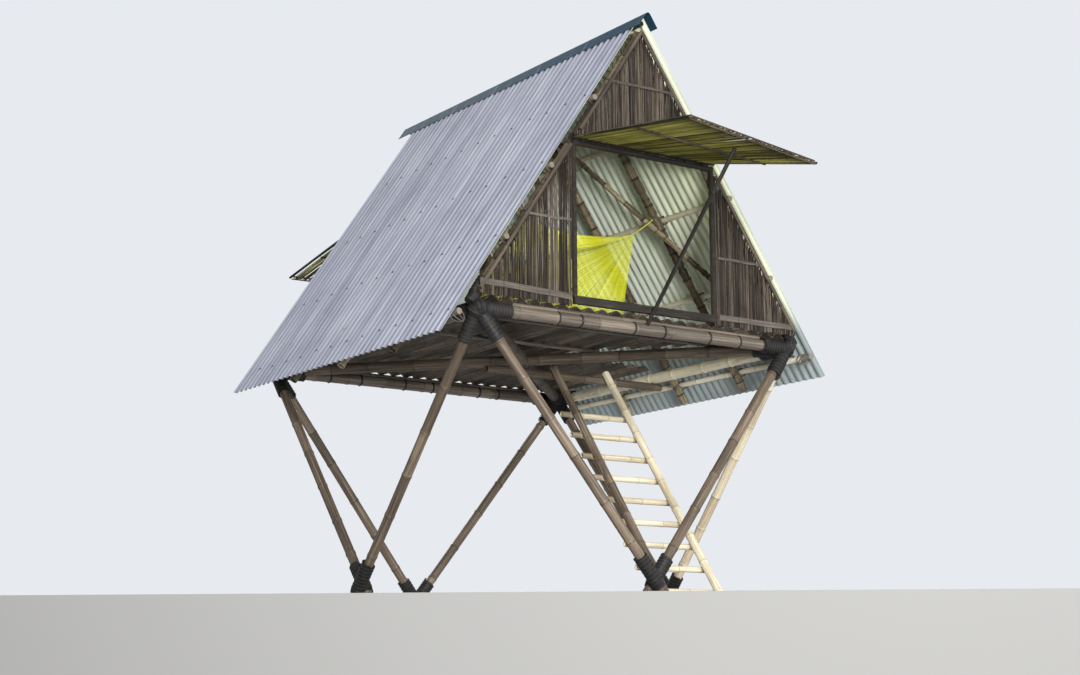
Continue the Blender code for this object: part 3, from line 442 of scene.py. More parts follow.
class Strands:
    """One mesh of tubes and strips, whose points know their place in the grain, ring and tone."""

    def __init__(self):
        self.points = []
        self.faces = []
        self.grain = []
        self.ring = []
        self.tone = []

    def point(self, place, grain, ring, tone):
        self.points.append(place)
        self.grain.append(grain)
        self.ring.append(ring)
        self.tone.append(tone)

    def skin(self, base, rows, width, closed=False):
        """Faces from each ring of points to the next, and from the last to the first if closed."""
        for row in range(rows if closed else rows - 1):
            here = base + row * width
            there = base + (row + 1) % rows * width
            for side in range(width):
                after = (side + 1) % width
                self.faces.append((here + side, here + after, there + after, there + side))

    def plate(self, base, rows, steps):
        """Faces of a plate: each row's points run along its upper side and back along its lower."""
        width = 2 * (steps + 1)
        self.skin(base, rows, width)
        for row in (base, base + width * (rows - 1)):
            for step in range(steps):
                upper = row + step
                lower = row + width - 1 - step
                self.faces.append((upper, upper + 1, lower - 1, lower))

    def tube(self, path, radii, sides, tones, rings=None, squash=1, turn=0):
        """A tube through the points of a path, with a radius at each."""
        axis = (path[-1] - path[0]).normalized()
        upright = abs(axis.z) >= UPRIGHT_SHARE
        across = (axis.orthogonal() if upright else axis.cross(Vector((0, 0, 1)))).normalized()
        up = axis.cross(across)
        base = len(self.points)
        shift = GRAIN_SHIFT * tones[0]
        for place, radius, tone, ring in zip(path, radii, tones, rings or [0] * len(path)):
            height = (place - path[0]).dot(axis)
            for side in range(sides):
                angle = 2 * pi * side / sides + turn
                along_x = radius * cos(angle)
                along_y = radius * sin(angle) * squash
                grain = (along_x + shift, along_y, height + shift)
                self.point(place + across * along_x + up * along_y, grain, ring, tone)
        self.skin(base, len(path), sides)
        last = len(self.points) - sides
        self.faces.append(tuple(range(base + sides - 1, base - 1, -1)))
        self.faces.append(tuple(range(last, last + sides)))

    def loop(self, path, radius, sides, tone):
        """A closed ring of cord through the points of a path."""
        base = len(self.points)
        count = len(path)
        centre = sum(path, Vector()) / count
        normal = (path[0] - centre).cross(path[count // 4] - centre).normalized()
        for index, place in enumerate(path):
            tangent = (path[(index + 1) % count] - path[index - 1]).normalized()
            outward = tangent.cross(normal)
            for side in range(sides):
                angle = 2 * pi * side / sides
                offset = outward * cos(angle) * radius + normal * sin(angle) * radius
                grain = (cos(angle) * radius, sin(angle) * radius, radius * index)
                self.point(place + offset, grain, 0, tone)
        self.skin(base, count, sides, closed=True)

    def ribbon(self, start, end, radius, width, pitch, tone, lift=0.0):
        """A flat strip wound round a pole, each turn lapping over the last."""
        axis = (end - start).normalized()
        across = axis.orthogonal().normalized()
        up = axis.cross(across)
        length = (end - start).length - width
        steps = max(WRAP_STEPS, int(WRAP_STEPS * length / pitch))
        # Ring marks along each turn's raised edge carry the rubber's painted highlight
        section = (
            (0, radius, 0),
            (width, radius + lift + STRIP_THICKNESS, 0.8),
            (width, radius + lift + 2 * STRIP_THICKNESS, 1),
            (0, radius + STRIP_THICKNESS, 0),
        )
        base = len(self.points)
        for step in range(steps + 1):
            angle = 2 * pi * step / WRAP_STEPS
            outward = across * cos(angle) + up * sin(angle)
            place = start + axis * (length * step / steps)
            for along, reach, ring in section:
                self.point(place + axis * along + outward * reach, (along, reach, angle * radius), ring, tone)
        self.skin(base, steps + 1, len(section))
        last = len(self.points) - len(section)
        self.faces.append((base, base + 1, base + 2, base + 3))
        self.faces.append((last + 3, last + 2, last + 1, last))

    def wound(self, start, end, radius, pitch, tone):
        """Rubber strip wound over a joint's faceted sleeve."""
        self.ribbon(start, end, radius * SLEEVE_FLAT_SHARE, STRIP_WIDTH, pitch, tone,
                    radius * (1 - SLEEVE_FLAT_SHARE))

    def made(self, name, material, slot, nodes=()):
        """The finished object, riding on the house and standing for its CAD nodes."""
        mesh = bpy.data.meshes.new(name)
        mesh.from_pydata([tuple(p) for p in self.points], [], self.faces)
        for title in ("grain", "ring", "tone"):
            kind, key = ("FLOAT_VECTOR", "vector") if title == "grain" else ("FLOAT", "value")
            layer = mesh.attributes.new(title, kind, "POINT")
            layer.data.foreach_set(key, np.array(getattr(self, title), np.float32).ravel())
        bm = bmesh.new()
        bm.from_mesh(mesh)
        write_mesh(bm, mesh)
        mesh.shade_smooth()
        mesh.set_sharp_from_angle(angle=radians(50))
        obj = linked(name, mesh)
        mesh.materials.append(material)
        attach(obj, "root")
        if nodes:
            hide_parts(*nodes)
        return obj


# Materials
class Shading:
    """A node material under construction."""

    def __init__(self, name):
        self.material = bpy.data.materials.new(name)
        self.material.use_nodes = True
        self.tree = self.material.node_tree
        self.shader = self.tree.nodes["Principled BSDF"]

    def node(self, kind, **inputs):
        made = self.tree.nodes.new(kind)
        for key, value in inputs.items():
            self.put(made.inputs[key.replace("_", " ")], value)
        return made

    def put(self, socket, value):
        if isinstance(value, bpy.types.NodeSocket):
            self.tree.links.new(value, socket)
        else:
            socket.default_value = value

    def attribute(self, name, output="Fac"):
        made = self.node("ShaderNodeAttribute")
        made.attribute_name = name
        return made.outputs[output]

    def place(self):
        return self.node("ShaderNodeTexCoord").outputs["Object"]

    def scaled(self, vector, scale):
        made = self.node("ShaderNodeVectorMath")
        made.operation = "MULTIPLY"
        self.put(made.inputs[0], vector)
        made.inputs[1].default_value = scale
        return made.outputs["Vector"]

    def noise(self, vector, scale, detail=3.0, roughness=0.55):
        made = self.node("ShaderNodeTexNoise", Vector=vector, Scale=scale, Detail=detail, Roughness=roughness)
        return made.outputs["Fac"]

    def cells(self, vector, scale):
        made = self.node("ShaderNodeTexVoronoi", Vector=vector, Scale=scale)
        return made.outputs["Color"]

    def sum(self, first, second, operation="ADD"):
        made = self.node("ShaderNodeMath")
        made.operation = operation
        self.put(made.inputs[0], first)
        self.put(made.inputs[1], second)
        return made.outputs["Value"]

    def ramp(self, value, stops):
        made = self.node("ShaderNodeValToRGB", Fac=value)
        band = made.color_ramp
        while len(band.elements) < len(stops):
            band.elements.new(1)
        for element, (place, colour) in zip(band.elements, stops):
            element.position = place
            element.color = (*colour, 1) if len(colour) == 3 else colour
        return made.outputs["Color"]

    def level(self, value, low, high, start=0.0, end=1.0):
        made = self.node("ShaderNodeMapRange", Value=value)
        made.inputs["From Min"].default_value = start
        made.inputs["From Max"].default_value = end
        made.inputs["To Min"].default_value = low
        made.inputs["To Max"].default_value = high
        return made.outputs["Result"]

    def mixed(self, share, first, second, blend="MIX"):
        made = self.node("ShaderNodeMix")
        made.data_type = "RGBA"
        made.blend_type = blend
        self.put(made.inputs["Factor"], share)
        sockets = [s for s in made.inputs if s.type == "RGBA"]
        for socket, value in zip(sockets, (first, second)):
            self.put(socket, value if isinstance(value, bpy.types.NodeSocket) else (*value, 1))
        return [s for s in made.outputs if s.type == "RGBA"][0]

    def bump(self, height, strength, distance):
        made = self.node("ShaderNodeBump", Height=height, Strength=strength, Distance=distance)
        self.put(self.shader.inputs["Normal"], made.outputs["Normal"])

    def done(self, colour, roughness, metallic=0.0, specular=0.5):
        self.put(self.shader.inputs["Base Color"], colour)
        self.put(self.shader.inputs["Roughness"], roughness)
        self.shader.inputs["Metallic"].default_value = metallic
        self.shader.inputs["Specular IOR Level"].default_value = specular
        return self.material


def culm_material(name, dark, base, pale, node_colour, stain, gloss, specular):
    """Culm: long fibres, a tone to each internode, dark node lines and weather stains."""
    look = Shading(name)
    grain = look.attribute("grain", "Vector")
    fibres = look.noise(look.scaled(grain, (95, 95, 2.6)), 1.0, 4.0)
    hairs = look.noise(look.scaled(grain, (420, 420, 9)), 1.0, 2.0)
    streak = look.sum(look.level(fibres, -0.55, 0.55, 0.3, 0.7), look.level(hairs, -0.16, 0.16, 0.3, 0.7))
    value = look.sum(look.attribute("tone"), look.sum(streak, 0.5, "MULTIPLY"))
    colour = look.ramp(value, ((0.12, dark), (0.5, base), (0.88, pale)))
    patches = look.noise(look.scaled(grain, (14, 14, 3.4)), 1.0, 6.0, 0.68)
    colour = look.mixed(look.level(patches, 0.0, 0.75, 0.52, 0.74), colour, stain)
    specks = look.noise(look.scaled(grain, (150, 150, 46)), 1.0, 3.0)
    colour = look.mixed(look.level(specks, 0.0, 0.6, 0.62, 0.72), colour, node_colour)
    # The ring mark darkens node lines, and also paints shade inside open ends and on darkened ends
    ring = look.attribute("ring")
    colour = look.mixed(look.level(ring, 0.0, 0.85, 0.25, 1.0), colour, node_colour)
    height = look.sum(look.sum(fibres, 0.7, "MULTIPLY"), look.sum(hairs, 0.3, "MULTIPLY"))
    look.bump(height, 0.45, BARK_RELIEF)
    rough = look.level(patches, gloss, gloss + 0.25, 0.35, 0.7)
    return look.done(colour, rough, specular=specular)


def metal_material(name, dark, base, light, worn, inner, valley_shade, metallic, roughness, specular):
    """Corrugated sheet: a tone to each sheet, dirt down the slope, faint spangle, painted light and shade."""
    look = Shading(name)
    place = look.place()
    split = look.node("ShaderNodeSeparateXYZ", Vector=place)
    sheet = look.sum(split.outputs["Y"], SHEET_COUNT / cad_roof_length(), "MULTIPLY")
    sheet = look.sum(look.sum(sheet, SHEET_COUNT / 2 + SHEET_SEED), 0.0, "FLOOR")
    tone = look.node("ShaderNodeTexWhiteNoise")
    tone.noise_dimensions = "1D"
    look.put(tone.inputs["W"], sheet)
    runs = look.noise(look.scaled(place, (1.2, 34, 1.2)), 1.0, 5.0, 0.62)
    clouds = look.noise(place, 2.3, 5.0, 0.6)
    spangle = look.cells(place, 95)
    value = look.sum(look.level(tone.outputs["Value"], -0.10, 0.10), look.level(runs, 0.25, 0.75, 0.3, 0.7))
    value = look.sum(value, look.level(clouds, -0.14, 0.14, 0.3, 0.7))
    colour = look.ramp(value, ((0.15, dark), (0.5, base), (0.85, light)))
    bright = look.node("ShaderNodeRGBToBW", Color=spangle)
    colour = look.mixed(look.level(bright.outputs["Val"], 0.0, 0.10), colour, light)
    spots = look.noise(look.scaled(place, (5, 12, 5)), 1.0, 6.0, 0.7)
    colour = look.mixed(look.level(spots, 0.0, 0.8, 0.63, 0.75), colour, worn)
    wave = look.sum(look.sum(split.outputs["Y"], 2 * pi / WAVE_PITCH, "MULTIPLY"), 0.0, "COSINE")
    # Painted shade: each wave's valley darkens towards a deep tone of the sheet
    colour = look.mixed(look.level(wave, valley_shade, 0.0, -1.0, 0.35), colour, tuple(0.35 * c for c in dark))
    facing = look.node("ShaderNodeSeparateXYZ", Vector=look.node("ShaderNodeNewGeometry").outputs["Normal"])
    # Painted lamp light: downward faces take pale colours that stand for the room's lamp lighting them
    below = look.level(facing.outputs["Z"], 0.85, 0.0, -0.25, -0.10)
    within = look.mixed(look.level(split.outputs["Y"], 0.0, 1.0, *UNDERSIDE_LIGHT_PLACES), *inner)
    # Painted shade: undersides low on the slopes darken, out of the room lamp's reach
    within = look.mixed(look.level(split.outputs["Z"], 1.0, 0.0, *EAVE_SHADE_HEIGHTS), within, EAVE_PAINTED_SHADE)
    within = look.mixed(look.level(runs, 0.3, 0.0, 0.3, 0.6), within, dark)
    colour = look.mixed(below, colour, within)
    look.bump(look.sum(clouds, look.sum(runs, 0.3, "MULTIPLY")), 0.18, METAL_RELIEF)
    rough = look.level(runs, roughness - 0.07, roughness + 0.13, 0.3, 0.7)
    return look.done(colour, rough, metallic, specular)


def rubber_material():
    """Strips cut from inner tubes: matt black with dust, and a painted highlight along each lap's edge."""
    look = Shading("rubber_strip")
    place = look.place()
    dust = look.noise(place, 24, 6.0, 0.66)
    fine = look.noise(place, 210, 3.0)
    stops = (0.35, (0.006, 0.006, 0.007)), (0.62, (0.014, 0.0135, 0.013)), (0.80, (0.05, 0.045, 0.039))
    # Painted highlight: a paler tone along the raised edge of each lap
    lap_edge_highlight = look.level(look.attribute("ring"), 0.0, 0.28, 0.72, 1.0)
    colour = look.mixed(lap_edge_highlight, look.ramp(dust, stops), (0.085, 0.078, 0.070))
    look.bump(look.sum(fine, dust), 0.35, BARK_RELIEF)
    return look.done(colour, look.level(dust, 0.45, 0.8, 0.35, 0.7), specular=0.2)


def wood_material(name, dark, base, pale):
    """Split strips and cord, with fibres that run along them."""
    look = Shading(name)
    grain = look.attribute("grain", "Vector")
    fibres = look.noise(look.scaled(grain, (120, 120, 5)), 1.0, 5.0, 0.6)
    tone = look.sum(look.attribute("tone"), look.level(fibres, -0.4, 0.4, 0.3, 0.7))
    colour = look.ramp(tone, ((0.1, dark), (0.5, base), (0.9, pale)))
    look.bump(fibres, 0.6, WOOD_RELIEF)
    return look.done(colour, look.level(fibres, 0.62, 0.85, 0.3, 0.7))


def net_material():
    """Fine bright netting: brighter lines where it gathers towards its hung corners, and painted light and
    shade.
    """
    look = Shading("net_cloth")
    place = look.place()
    fan = look.node("ShaderNodeSeparateXYZ", Vector=look.attribute("fan", "Vector"))
    across = look.node("ShaderNodeCombineXYZ", X=fan.outputs["X"], Y=fan.outputs["Z"])
    lines = look.noise(look.scaled(across.outputs["Vector"], (30, 7, 1)), 1.0, 5.0, 0.72)
    near = look.level(fan.outputs["Y"], 1.0, 0.45, 0.3, 1.3)
    gathered = look.sum(look.level(lines, 0.0, 1.0, 0.54, 0.60), near, "MULTIPLY")
    # Painted shade in darker lines between the gathered ones
    shade = look.sum(look.level(lines, 0.0, 1.0, 0.47, 0.38), near, "MULTIPLY")
    # Painted light and shade: by the angle from each hung corner, bright, then a dark band, then mid
    painted_light_greys = ((0.0, 1), (0.26, 1), (0.28, 0), (0.36, 0), (0.42, 0.5), (1.0, 0.5))
    band = look.ramp(fan.outputs["X"], [(place, (grey, grey, grey)) for place, grey in painted_light_greys])
    colour = look.mixed(band, (0.36, 0.40, 0.004), (0.92, 0.95, 0.012))
    colour = look.mixed(gathered, colour, (0.98, 0.98, 0.22))
    colour = look.mixed(shade, colour, (0.22, 0.26, 0.003))
    weave = look.noise(place, 640, 1.0)
    look.bump(look.sum(weave, lines), 0.3, WOOD_RELIEF)
    look.shader.inputs["Alpha"].default_value = 0.38
    return look.done(colour, 0.9, specular=0.05)


def nail_material():
    """Dull nail heads with a little rust."""
    look = Shading("nail_head")
    rust = look.noise(look.place(), 60)
    colour = look.ramp(rust, ((0.3, (0.045, 0.040, 0.042)), (0.7, (0.15, 0.135, 0.135))))
    return look.done(colour, 0.5, 0.6)


def plank_material():
    """Near-black wood with its grain along the boards; its darkness is painted shade on the opening's frame.
    """
    look = Shading("dark_plank")
    grain = look.noise(look.scaled(look.place(), (6, 90, 60)), 1.0, 5.0)
    look.bump(grain, 0.4, PLANK_RELIEF)
    stops = (0.3, (0.008, 0.007, 0.006)), (0.6, (0.022, 0.018, 0.015)), (0.8, (0.06, 0.048, 0.040))
    return look.done(look.ramp(grain, stops), 0.85, specular=0.2)


def cad_roof_length():
    low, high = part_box("roof_sheets_left")
    return high.y - low.y


def make_materials():
    looks = {key: culm_material(*values) for key, values in CULM_LOOKS.items()}
    looks.update({key: wood_material(*values) for key, values in WOOD_LOOKS.items()})
    # The sheets' pale underside colours are painted lamp light; their 0.7 is painted shade in the valleys
    looks["metal"] = metal_material(
        "galvanised_sheet", (0.24, 0.25, 0.32), (0.38, 0.395, 0.475), (0.53, 0.55, 0.63), (0.24, 0.225, 0.24),
        ((0.88, 0.94, 0.66), (0.84, 0.95, 0.95)), 0.7, 0.25, 0.46, 0.5)
    looks["cap"] = metal_material(
        "ridge_paint", (0.006, 0.024, 0.044), (0.009, 0.041, 0.074), (0.018, 0.070, 0.115),
        (0.05, 0.06, 0.07), (CAP_UNDERSIDE, CAP_UNDERSIDE), 0.0, 0.0, 0.65, 0.12)
    looks["rubber"] = rubber_material()
    looks["nail"] = nail_material()
    looks["plank"] = plank_material()
    looks["net"] = net_material()
    return looks


# Poles
def node_places(length, spacing, rng):
    """Where a culm's nodes are: uneven steps with a free end each way."""
    places = []
    place = spacing * rng.uniform(*FIRST_NODE_SHARES)
    while place < length - spacing * LAST_NODE_SHARE:
        places.append(place)
        place += spacing * rng.uniform(*NODE_STEP_SHARES)
    return places


def add_culm(strands, start, end, radius, rng, spacing=NODE_SPACING, sides=POLE_SIDES, hollow=(False, False),
             bend=0.0, tone=0.5, spread=TONE_SPREAD, knobs=1.0, end_shade=0.0, lumps=0.0):
    """A bamboo culm between two points: node ridges, swelling, open ends, painted shade in and on its ends."""
    start = Vector(start)
    axis = (Vector(end) - start).normalized()
    length = (Vector(end) - start).length
    lean = axis.orthogonal().normalized()
    lean.rotate(Matrix.Rotation(rng.uniform(0, 2 * pi), 3, axis))
    proud = radius * NODE_PROUD_SHARE * knobs
    wide = max(NODE_LEAST_WIDTH, radius * NODE_WIDTH_SHARE)
    reach = NODE_REACH * wide
    faded = end_shade * END_SHADE_FADE
    tip_shade_mark = 1 if end_shade else 0
    internode = held_inside(tone + rng.uniform(-spread, spread), TONE_MARGIN)
    stations = []

    def station(place, size, ring):
        bow = lean * bend * sin(pi * (place / length))
        stations.append((start + axis * place + bow, size, internode, ring))

    def node_part(place, profile):
        for at, share, ridge, mark in profile:
            station(place + at * wide, radius * share + proud * ridge, min(1, mark * knobs))

    def bark(first, last):
        step = radius * LUMP_STEP_SHARE
        for index in range(1, int((last - first) / step)):
            size = radius * (1 + rng.uniform(-lumps, lumps))
            station(first + step * index, size, rng.choice((0, 0, rng.random())))

    # Painted shade: an open end darkens towards its hollow's floor
    if hollow[0]:
        station(HOLLOW_DEPTH, radius * WALL_SHARE, HOLLOW_SHADE_MARK)
        station(0, radius * WALL_SHARE, MOUTH_SHADE_MARK)
    station(0, radius * CULM_END_SHARE, tip_shade_mark)
    # Painted shade: darkened ends over the given length
    if end_shade:
        station(end_shade, radius, END_SHADE_MARK)
        station(faded, radius, 0)
    past = 0
    for place in node_places(length, spacing, rng):
        if place - reach < faded or place + reach > length - faded:
            continue
        if lumps:
            bark(past, place - reach)
            past = place + reach
        node_part(place, NODE_BELOW)
        internode = held_inside(tone + rng.uniform(-spread, spread), TONE_MARGIN)
        node_part(place, NODE_ABOVE)
    if end_shade:
        station(length - faded, radius, 0)
        station(length - end_shade, radius, END_SHADE_MARK)
    station(length, radius * CULM_END_SHARE, tip_shade_mark)
    if hollow[1]:
        station(length, radius * WALL_SHARE, MOUTH_SHADE_MARK)
        station(length - HOLLOW_DEPTH, radius * WALL_SHARE, HOLLOW_SHADE_MARK)
    path, radii, tones, rings = zip(*stations)
    strands.tube(path, radii, sides, tones, rings)


def cut_at_ground(obj):
    """Cuts a leg's mesh off flat at the ground."""
    bm = bmesh.new()
    bm.from_mesh(obj.data)
    geometry = bm.verts[:] + bm.edges[:] + bm.faces[:]
    cut = bmesh.ops.bisect_plane(bm, geom=geometry, plane_co=(0, 0, 0), plane_no=(0, 0, 1), clear_inner=True)
    edges = [item for item in cut["geom_cut"] if isinstance(item, bmesh.types.BMEdge)]
    bmesh.ops.contextual_create(bm, geom=edges)
    write_mesh(bm, obj.data)


def make_legs(looks):
    for node in sorted(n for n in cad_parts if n.startswith("leg_")):
        rng = random.Random(node)
        bottom, top, radius = leg_axis_of(node)
        low = bottom - (top - bottom).normalized() * FOOT_CUT_OVERRUN
        strands = Strands()
        add_culm(strands, low, top, radius, rng, bend=rng.uniform(*LEG_BENDS))
        look = looks["pale" if node == PALE_LEG else "leg"]
        cut_at_ground(strands.made(f"{node}_culm", look, "bamboo", [node]))


def make_straight_poles(looks):
    """Beams, diagonals, purlins, braces and props, each from its own CAD node's axis."""
    for node in sorted(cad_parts):
        kind = next((k for k in POLE_KINDS if node.startswith(k)), None)
        if kind is None:
            continue
        look, slot, hollow, tone = POLE_KINDS[kind]
        start, end, radius = axis_of(node)
        strands = Strands()
        sides = POLE_SIDES if radius > THIN_POLE_RADIUS else THIN_POLE_SIDES
        rough = {**ROUGH_CULM, "bend": ROUGH_BEND} if kind == "roof_brace" else {}
        # Purlins take painted shade on their ends
        add_culm(strands, start, end, radius, random.Random(node), sides=sides, hollow=hollow, tone=tone,
                 end_shade=PURLIN_END_SHADE if kind == "purlin" else 0, **rough)
        strands.made(f"{node}_culm", looks[look], slot, [node])


def slope_axes(side_name):
    """The unit vectors down a roof slope, from its highest purlin to its lowest, and out of it."""
    high = axis_of(f"purlin_{side_name}_1")[0]
    low = axis_of(f"purlin_{side_name}_{PURLIN_COUNT}")[0]
    down = Vector((low.x - high.x, 0, low.z - high.z)).normalized()
    side = -1 if side_name == "left" else 1
    return down, Vector((-down.z * side, 0, down.x * side))


def rafter_axes(node):
    """The two rafters of a pair, each from its lower end to just past their crossing."""
    points = points_of(node)
    axes = []
    for side, side_name in SIDES:
        down = slope_axes(side_name)[0]
        half = points[points[:, 0] * side > 0]
        places = half @ np.array(down)
        foot = half[places > places.max() - END_TOLERANCE]
        low = Vector((foot.min(0) + foot.max(0)) / 2)
        radius = float(foot[:, 1].max() - foot[:, 1].min()) / 2
        length = low.x / down.x + RAFTER_OVERRUN
        axes.append((low, low - down * length, radius))
    return axes


def make_rafters(looks):
    for index in range(1, RAFTER_PAIR_COUNT + 1):
        node = f"rafter_pair_{index}"
        rng = random.Random(node)
        strands = Strands()
        inside = 1 < index < RAFTER_PAIR_COUNT
        for low, top, radius in rafter_axes(node):
            add_culm(strands, low, top, radius, rng, hollow=(inside, True), **ROUGH_CULM)
        # The gable rafters take the edge look's painted shade
        strands.made(f"{node}_culms", looks["rafter" if inside else "edge"], "bamboo", [node])


def make_ladder(looks):
    """Two rails with rungs on their far side. The left rail is darker than the rest."""
    points = points_of("ladder")
    low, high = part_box("ladder")
    rng = random.Random("ladder")
    run = Vector((0, LADDER_RUN_SHARE, 1)).normalized()
    feet = []
    for x, look, name in ((LADDER_LEFT, "leg", "left"), (LADDER_RIGHT, "ladder", "right")):
        near = points[np.abs(points[:, 0] - x) < RAIL_RADIUS * RAIL_REACH_SHARE]
        ground = near[near[:, 2] < END_TOLERANCE]
        foot = Vector((x, (ground[:, 1].min() + ground[:, 1].max()) / 2, 0))
        places = near @ np.array(run)
        top = foot + run * (places.max() - foot.dot(run))
        feet.append(foot)
        strands = Strands()
        add_culm(strands, foot - run * FOOT_CUT_OVERRUN, top, RAIL_RADIUS, rng, spacing=RAIL_NODE_SPACING,
                 hollow=(False, True), tone=0.55, bend=RAIL_BEND)
        cut_at_ground(strands.made(f"ladder_rail_{name}", looks[look], "bamboo", ["ladder"]))
    back = Vector((0, run.z, -run.y)) * (RAIL_RADIUS + RUNG_RADIUS - RUNG_BEDDING)
    strands = Strands()
    for index in range(RUNG_COUNT):
        height = RUNG_FIRST_HEIGHT + RUNG_SPACING * index
        middle = feet[0] + run * (height / run.z) + back
        # Painted shade on the rungs' ends beyond the left rail, the same length at their right ends
        add_culm(strands, (low.x, middle.y, middle.z), (high.x, middle.y, middle.z), RUNG_RADIUS, rng,
                 spacing=THIN_NODE_SPACING, sides=THIN_POLE_SIDES, hollow=(True, True), spread=0.2,
                 end_shade=LADDER_LEFT - RAIL_RADIUS - low.x)
    strands.made("ladder_rungs", looks["ladder"], "bamboo")


# Joints
def corner_points():
    """Each corner's node: where the axes of its two edge beams meet."""
    corners = {}
    for _, end_name in ENDS:
        along_x = axis_of(f"floor_beam_{end_name}")[0]
        for _, side_name in SIDES:
            along_y = axis_of(f"floor_beam_{side_name}")[0]
            corners[f"{end_name}_{side_name}"] = Vector((along_y.x, along_x.y, along_x.z))
    return corners


def make_corner_wraps(looks):
    """Rubber strip wound round each pole at the corners, with a knot of strip at their middle."""
    beam_sleeve = axis_of("floor_beam_front")[2] + SLEEVE_WALL
    for corner, node in corner_points().items():
        rng = random.Random(corner)
        strands = Strands()
        arms = []
        for name in sorted(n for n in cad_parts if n.startswith(f"leg_{corner}_")):
            bottom, _, radius = leg_axis_of(name)
            arms.append((node, bottom, radius + SLEEVE_WALL, SLEEVE_LENGTH))
        for x, y in ((-1, 1), (1, -1), (-1, -1)):
            far = Vector((x * node.x, y * node.y, node.z))
            arms.append((node, far, beam_sleeve, SLEEVE_LENGTH))
        pair = rafter_axes(f"rafter_pair_{1 if node.y < 0 else RAFTER_PAIR_COUNT}")
        low, top, radius = pair[0 if node.x < 0 else 1]
        arms.append((low, top, radius + SOCKET_WALL, RAFTER_SOCKET_LENGTH))
        for start, far, radius, length in arms:
            direction = (far - start).normalized()
            begin = start + direction * STRIP_WIDTH
            finish = start + direction * (length + STRIP_THICKNESS)
            strands.wound(begin, finish, radius, STRIP_PITCH * rng.uniform(*PITCH_SHARES), rng.random())
        for _ in range(KNOT_TURNS):
            axis = Vector((rng.uniform(-1, 1), rng.uniform(-1, 1), rng.uniform(-1, 1))).normalized()
            start = node - axis * STRIP_WIDTH
            strands.ribbon(start, start + axis * 2 * STRIP_WIDTH, KNOT_RADIUS * rng.uniform(*KNOT_SIZE_SHARES),
                           STRIP_WIDTH, STRIP_PITCH, rng.random())
        strands.made(f"corner_wrap_{corner}", looks["rubber"], "rubber")


def make_foot_wraps(looks):
    """Rubber strip wound round the two legs at each foot."""
    for foot in ("front", "back", "left", "right"):
        rng = random.Random(foot)
        strands = Strands()
        low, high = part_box(f"foot_wrap_{foot}")
        for name in sorted(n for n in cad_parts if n.endswith(f"_{foot}_foot")):
            bottom, top, radius = leg_axis_of(name)
            direction = (top - bottom).normalized()
            begin = bottom + direction * ((low.z + radius * FOOT_STRIP_LOW_SHARE) / direction.z)
            finish = bottom + direction * ((high.z - radius * FOOT_STRIP_HIGH_SHARE) / direction.z)
            strands.wound(begin, finish, radius + SOCKET_WALL, STRIP_PITCH, rng.random())
        strands.made(f"foot_strips_{foot}", looks["rubber"], "rubber")


def make_ties(looks):
    """Two crossed turns of cord round each crossing of a rafter and a purlin."""
    strands = Strands()
    rng = random.Random("ties")
    for index in range(1, RAFTER_PAIR_COUNT + 1):
        axes = rafter_axes(f"rafter_pair_{index}")
        for (_, side_name), (low, _, rafter_radius) in zip(SIDES, axes):
            down, outward = slope_axes(side_name)
            for purlin in range(1, PURLIN_COUNT + 1):
                start, _, radius = axis_of(f"purlin_{side_name}_{purlin}")
                centre = Vector((start.x, low.y, start.z))
                for slant in (-1, 1):
                    lean = Vector((0, slant, 0))
                    across = (down + lean * rng.uniform(*TIE_SLANTS)).normalized()
                    for turn in (-0.5, 0.5):
                        middle = centre + lean * TIE_GAP * turn
                        path = tie_path(middle, outward, across, radius, rafter_radius)
                        strands.loop(path, TIE_RADIUS, 5, rng.random())
    strands.made("roof_ties", looks["cord"], "dark_wood")


def tie_path(centre, outward, across, radius, rafter_radius):
    """A loop over a purlin and under the rafter that carries it."""
    path = []
    depth = 2 * rafter_radius + radius + TIE_CLEARANCE
    width = max(radius, rafter_radius) * TIE_WIDTH_SHARE
    for step in range(TIE_STEPS):
        angle = 2 * pi * step / TIE_STEPS
        height = cos(angle) * (radius - TIE_BEDDING if cos(angle) > 0 else depth)
        path.append(centre + outward * height + across * width * sin(angle))
    return path


def make_beam_bands(looks):
    """Dark bands that hold the edge strips down on the gable beams."""
    start, _, radius = axis_of("floor_beam_front")
    half = Vector((BEAM_BAND_WIDTH / 2, 0, 0))
    for end, end_name in ENDS:
        strands = Strands()
        for index, x in enumerate(BEAM_BAND_PLACES):
            middle = Vector((-end * x, -end * start.y, start.z))
            strands.ribbon(middle - half, middle + half, radius + BAND_CLEARANCE, BEAM_BAND_WIDTH / 2,
                           BEAM_BAND_WIDTH / 3, index / len(BEAM_BAND_PLACES))
        strands.made(f"beam_bands_{end_name}", looks["rubber"], "rubber")


# Reeds
def ray_height(tree, x, y, start, way):
    """The height at which an upright ray first meets a mesh, or None."""
    hit = tree.ray_cast(Vector((x, y, start)), Vector((0, 0, way)))[0]
    return None if hit is None else hit.z


def vertical_span(tree, x, y, low, high):
    """The lowest and highest point of a CAD panel on an upright line."""
    bottom = ray_height(tree, x, y, low - RAY_START, 1)
    top = ray_height(tree, x, y, high + RAY_START, -1)
    return None if bottom is None or top is None else (bottom, top)


def tree_of(node):
    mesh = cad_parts[node].data
    return BVHTree.FromPolygons([v.co for v in mesh.vertices], [tuple(p.vertices) for p in mesh.polygons])


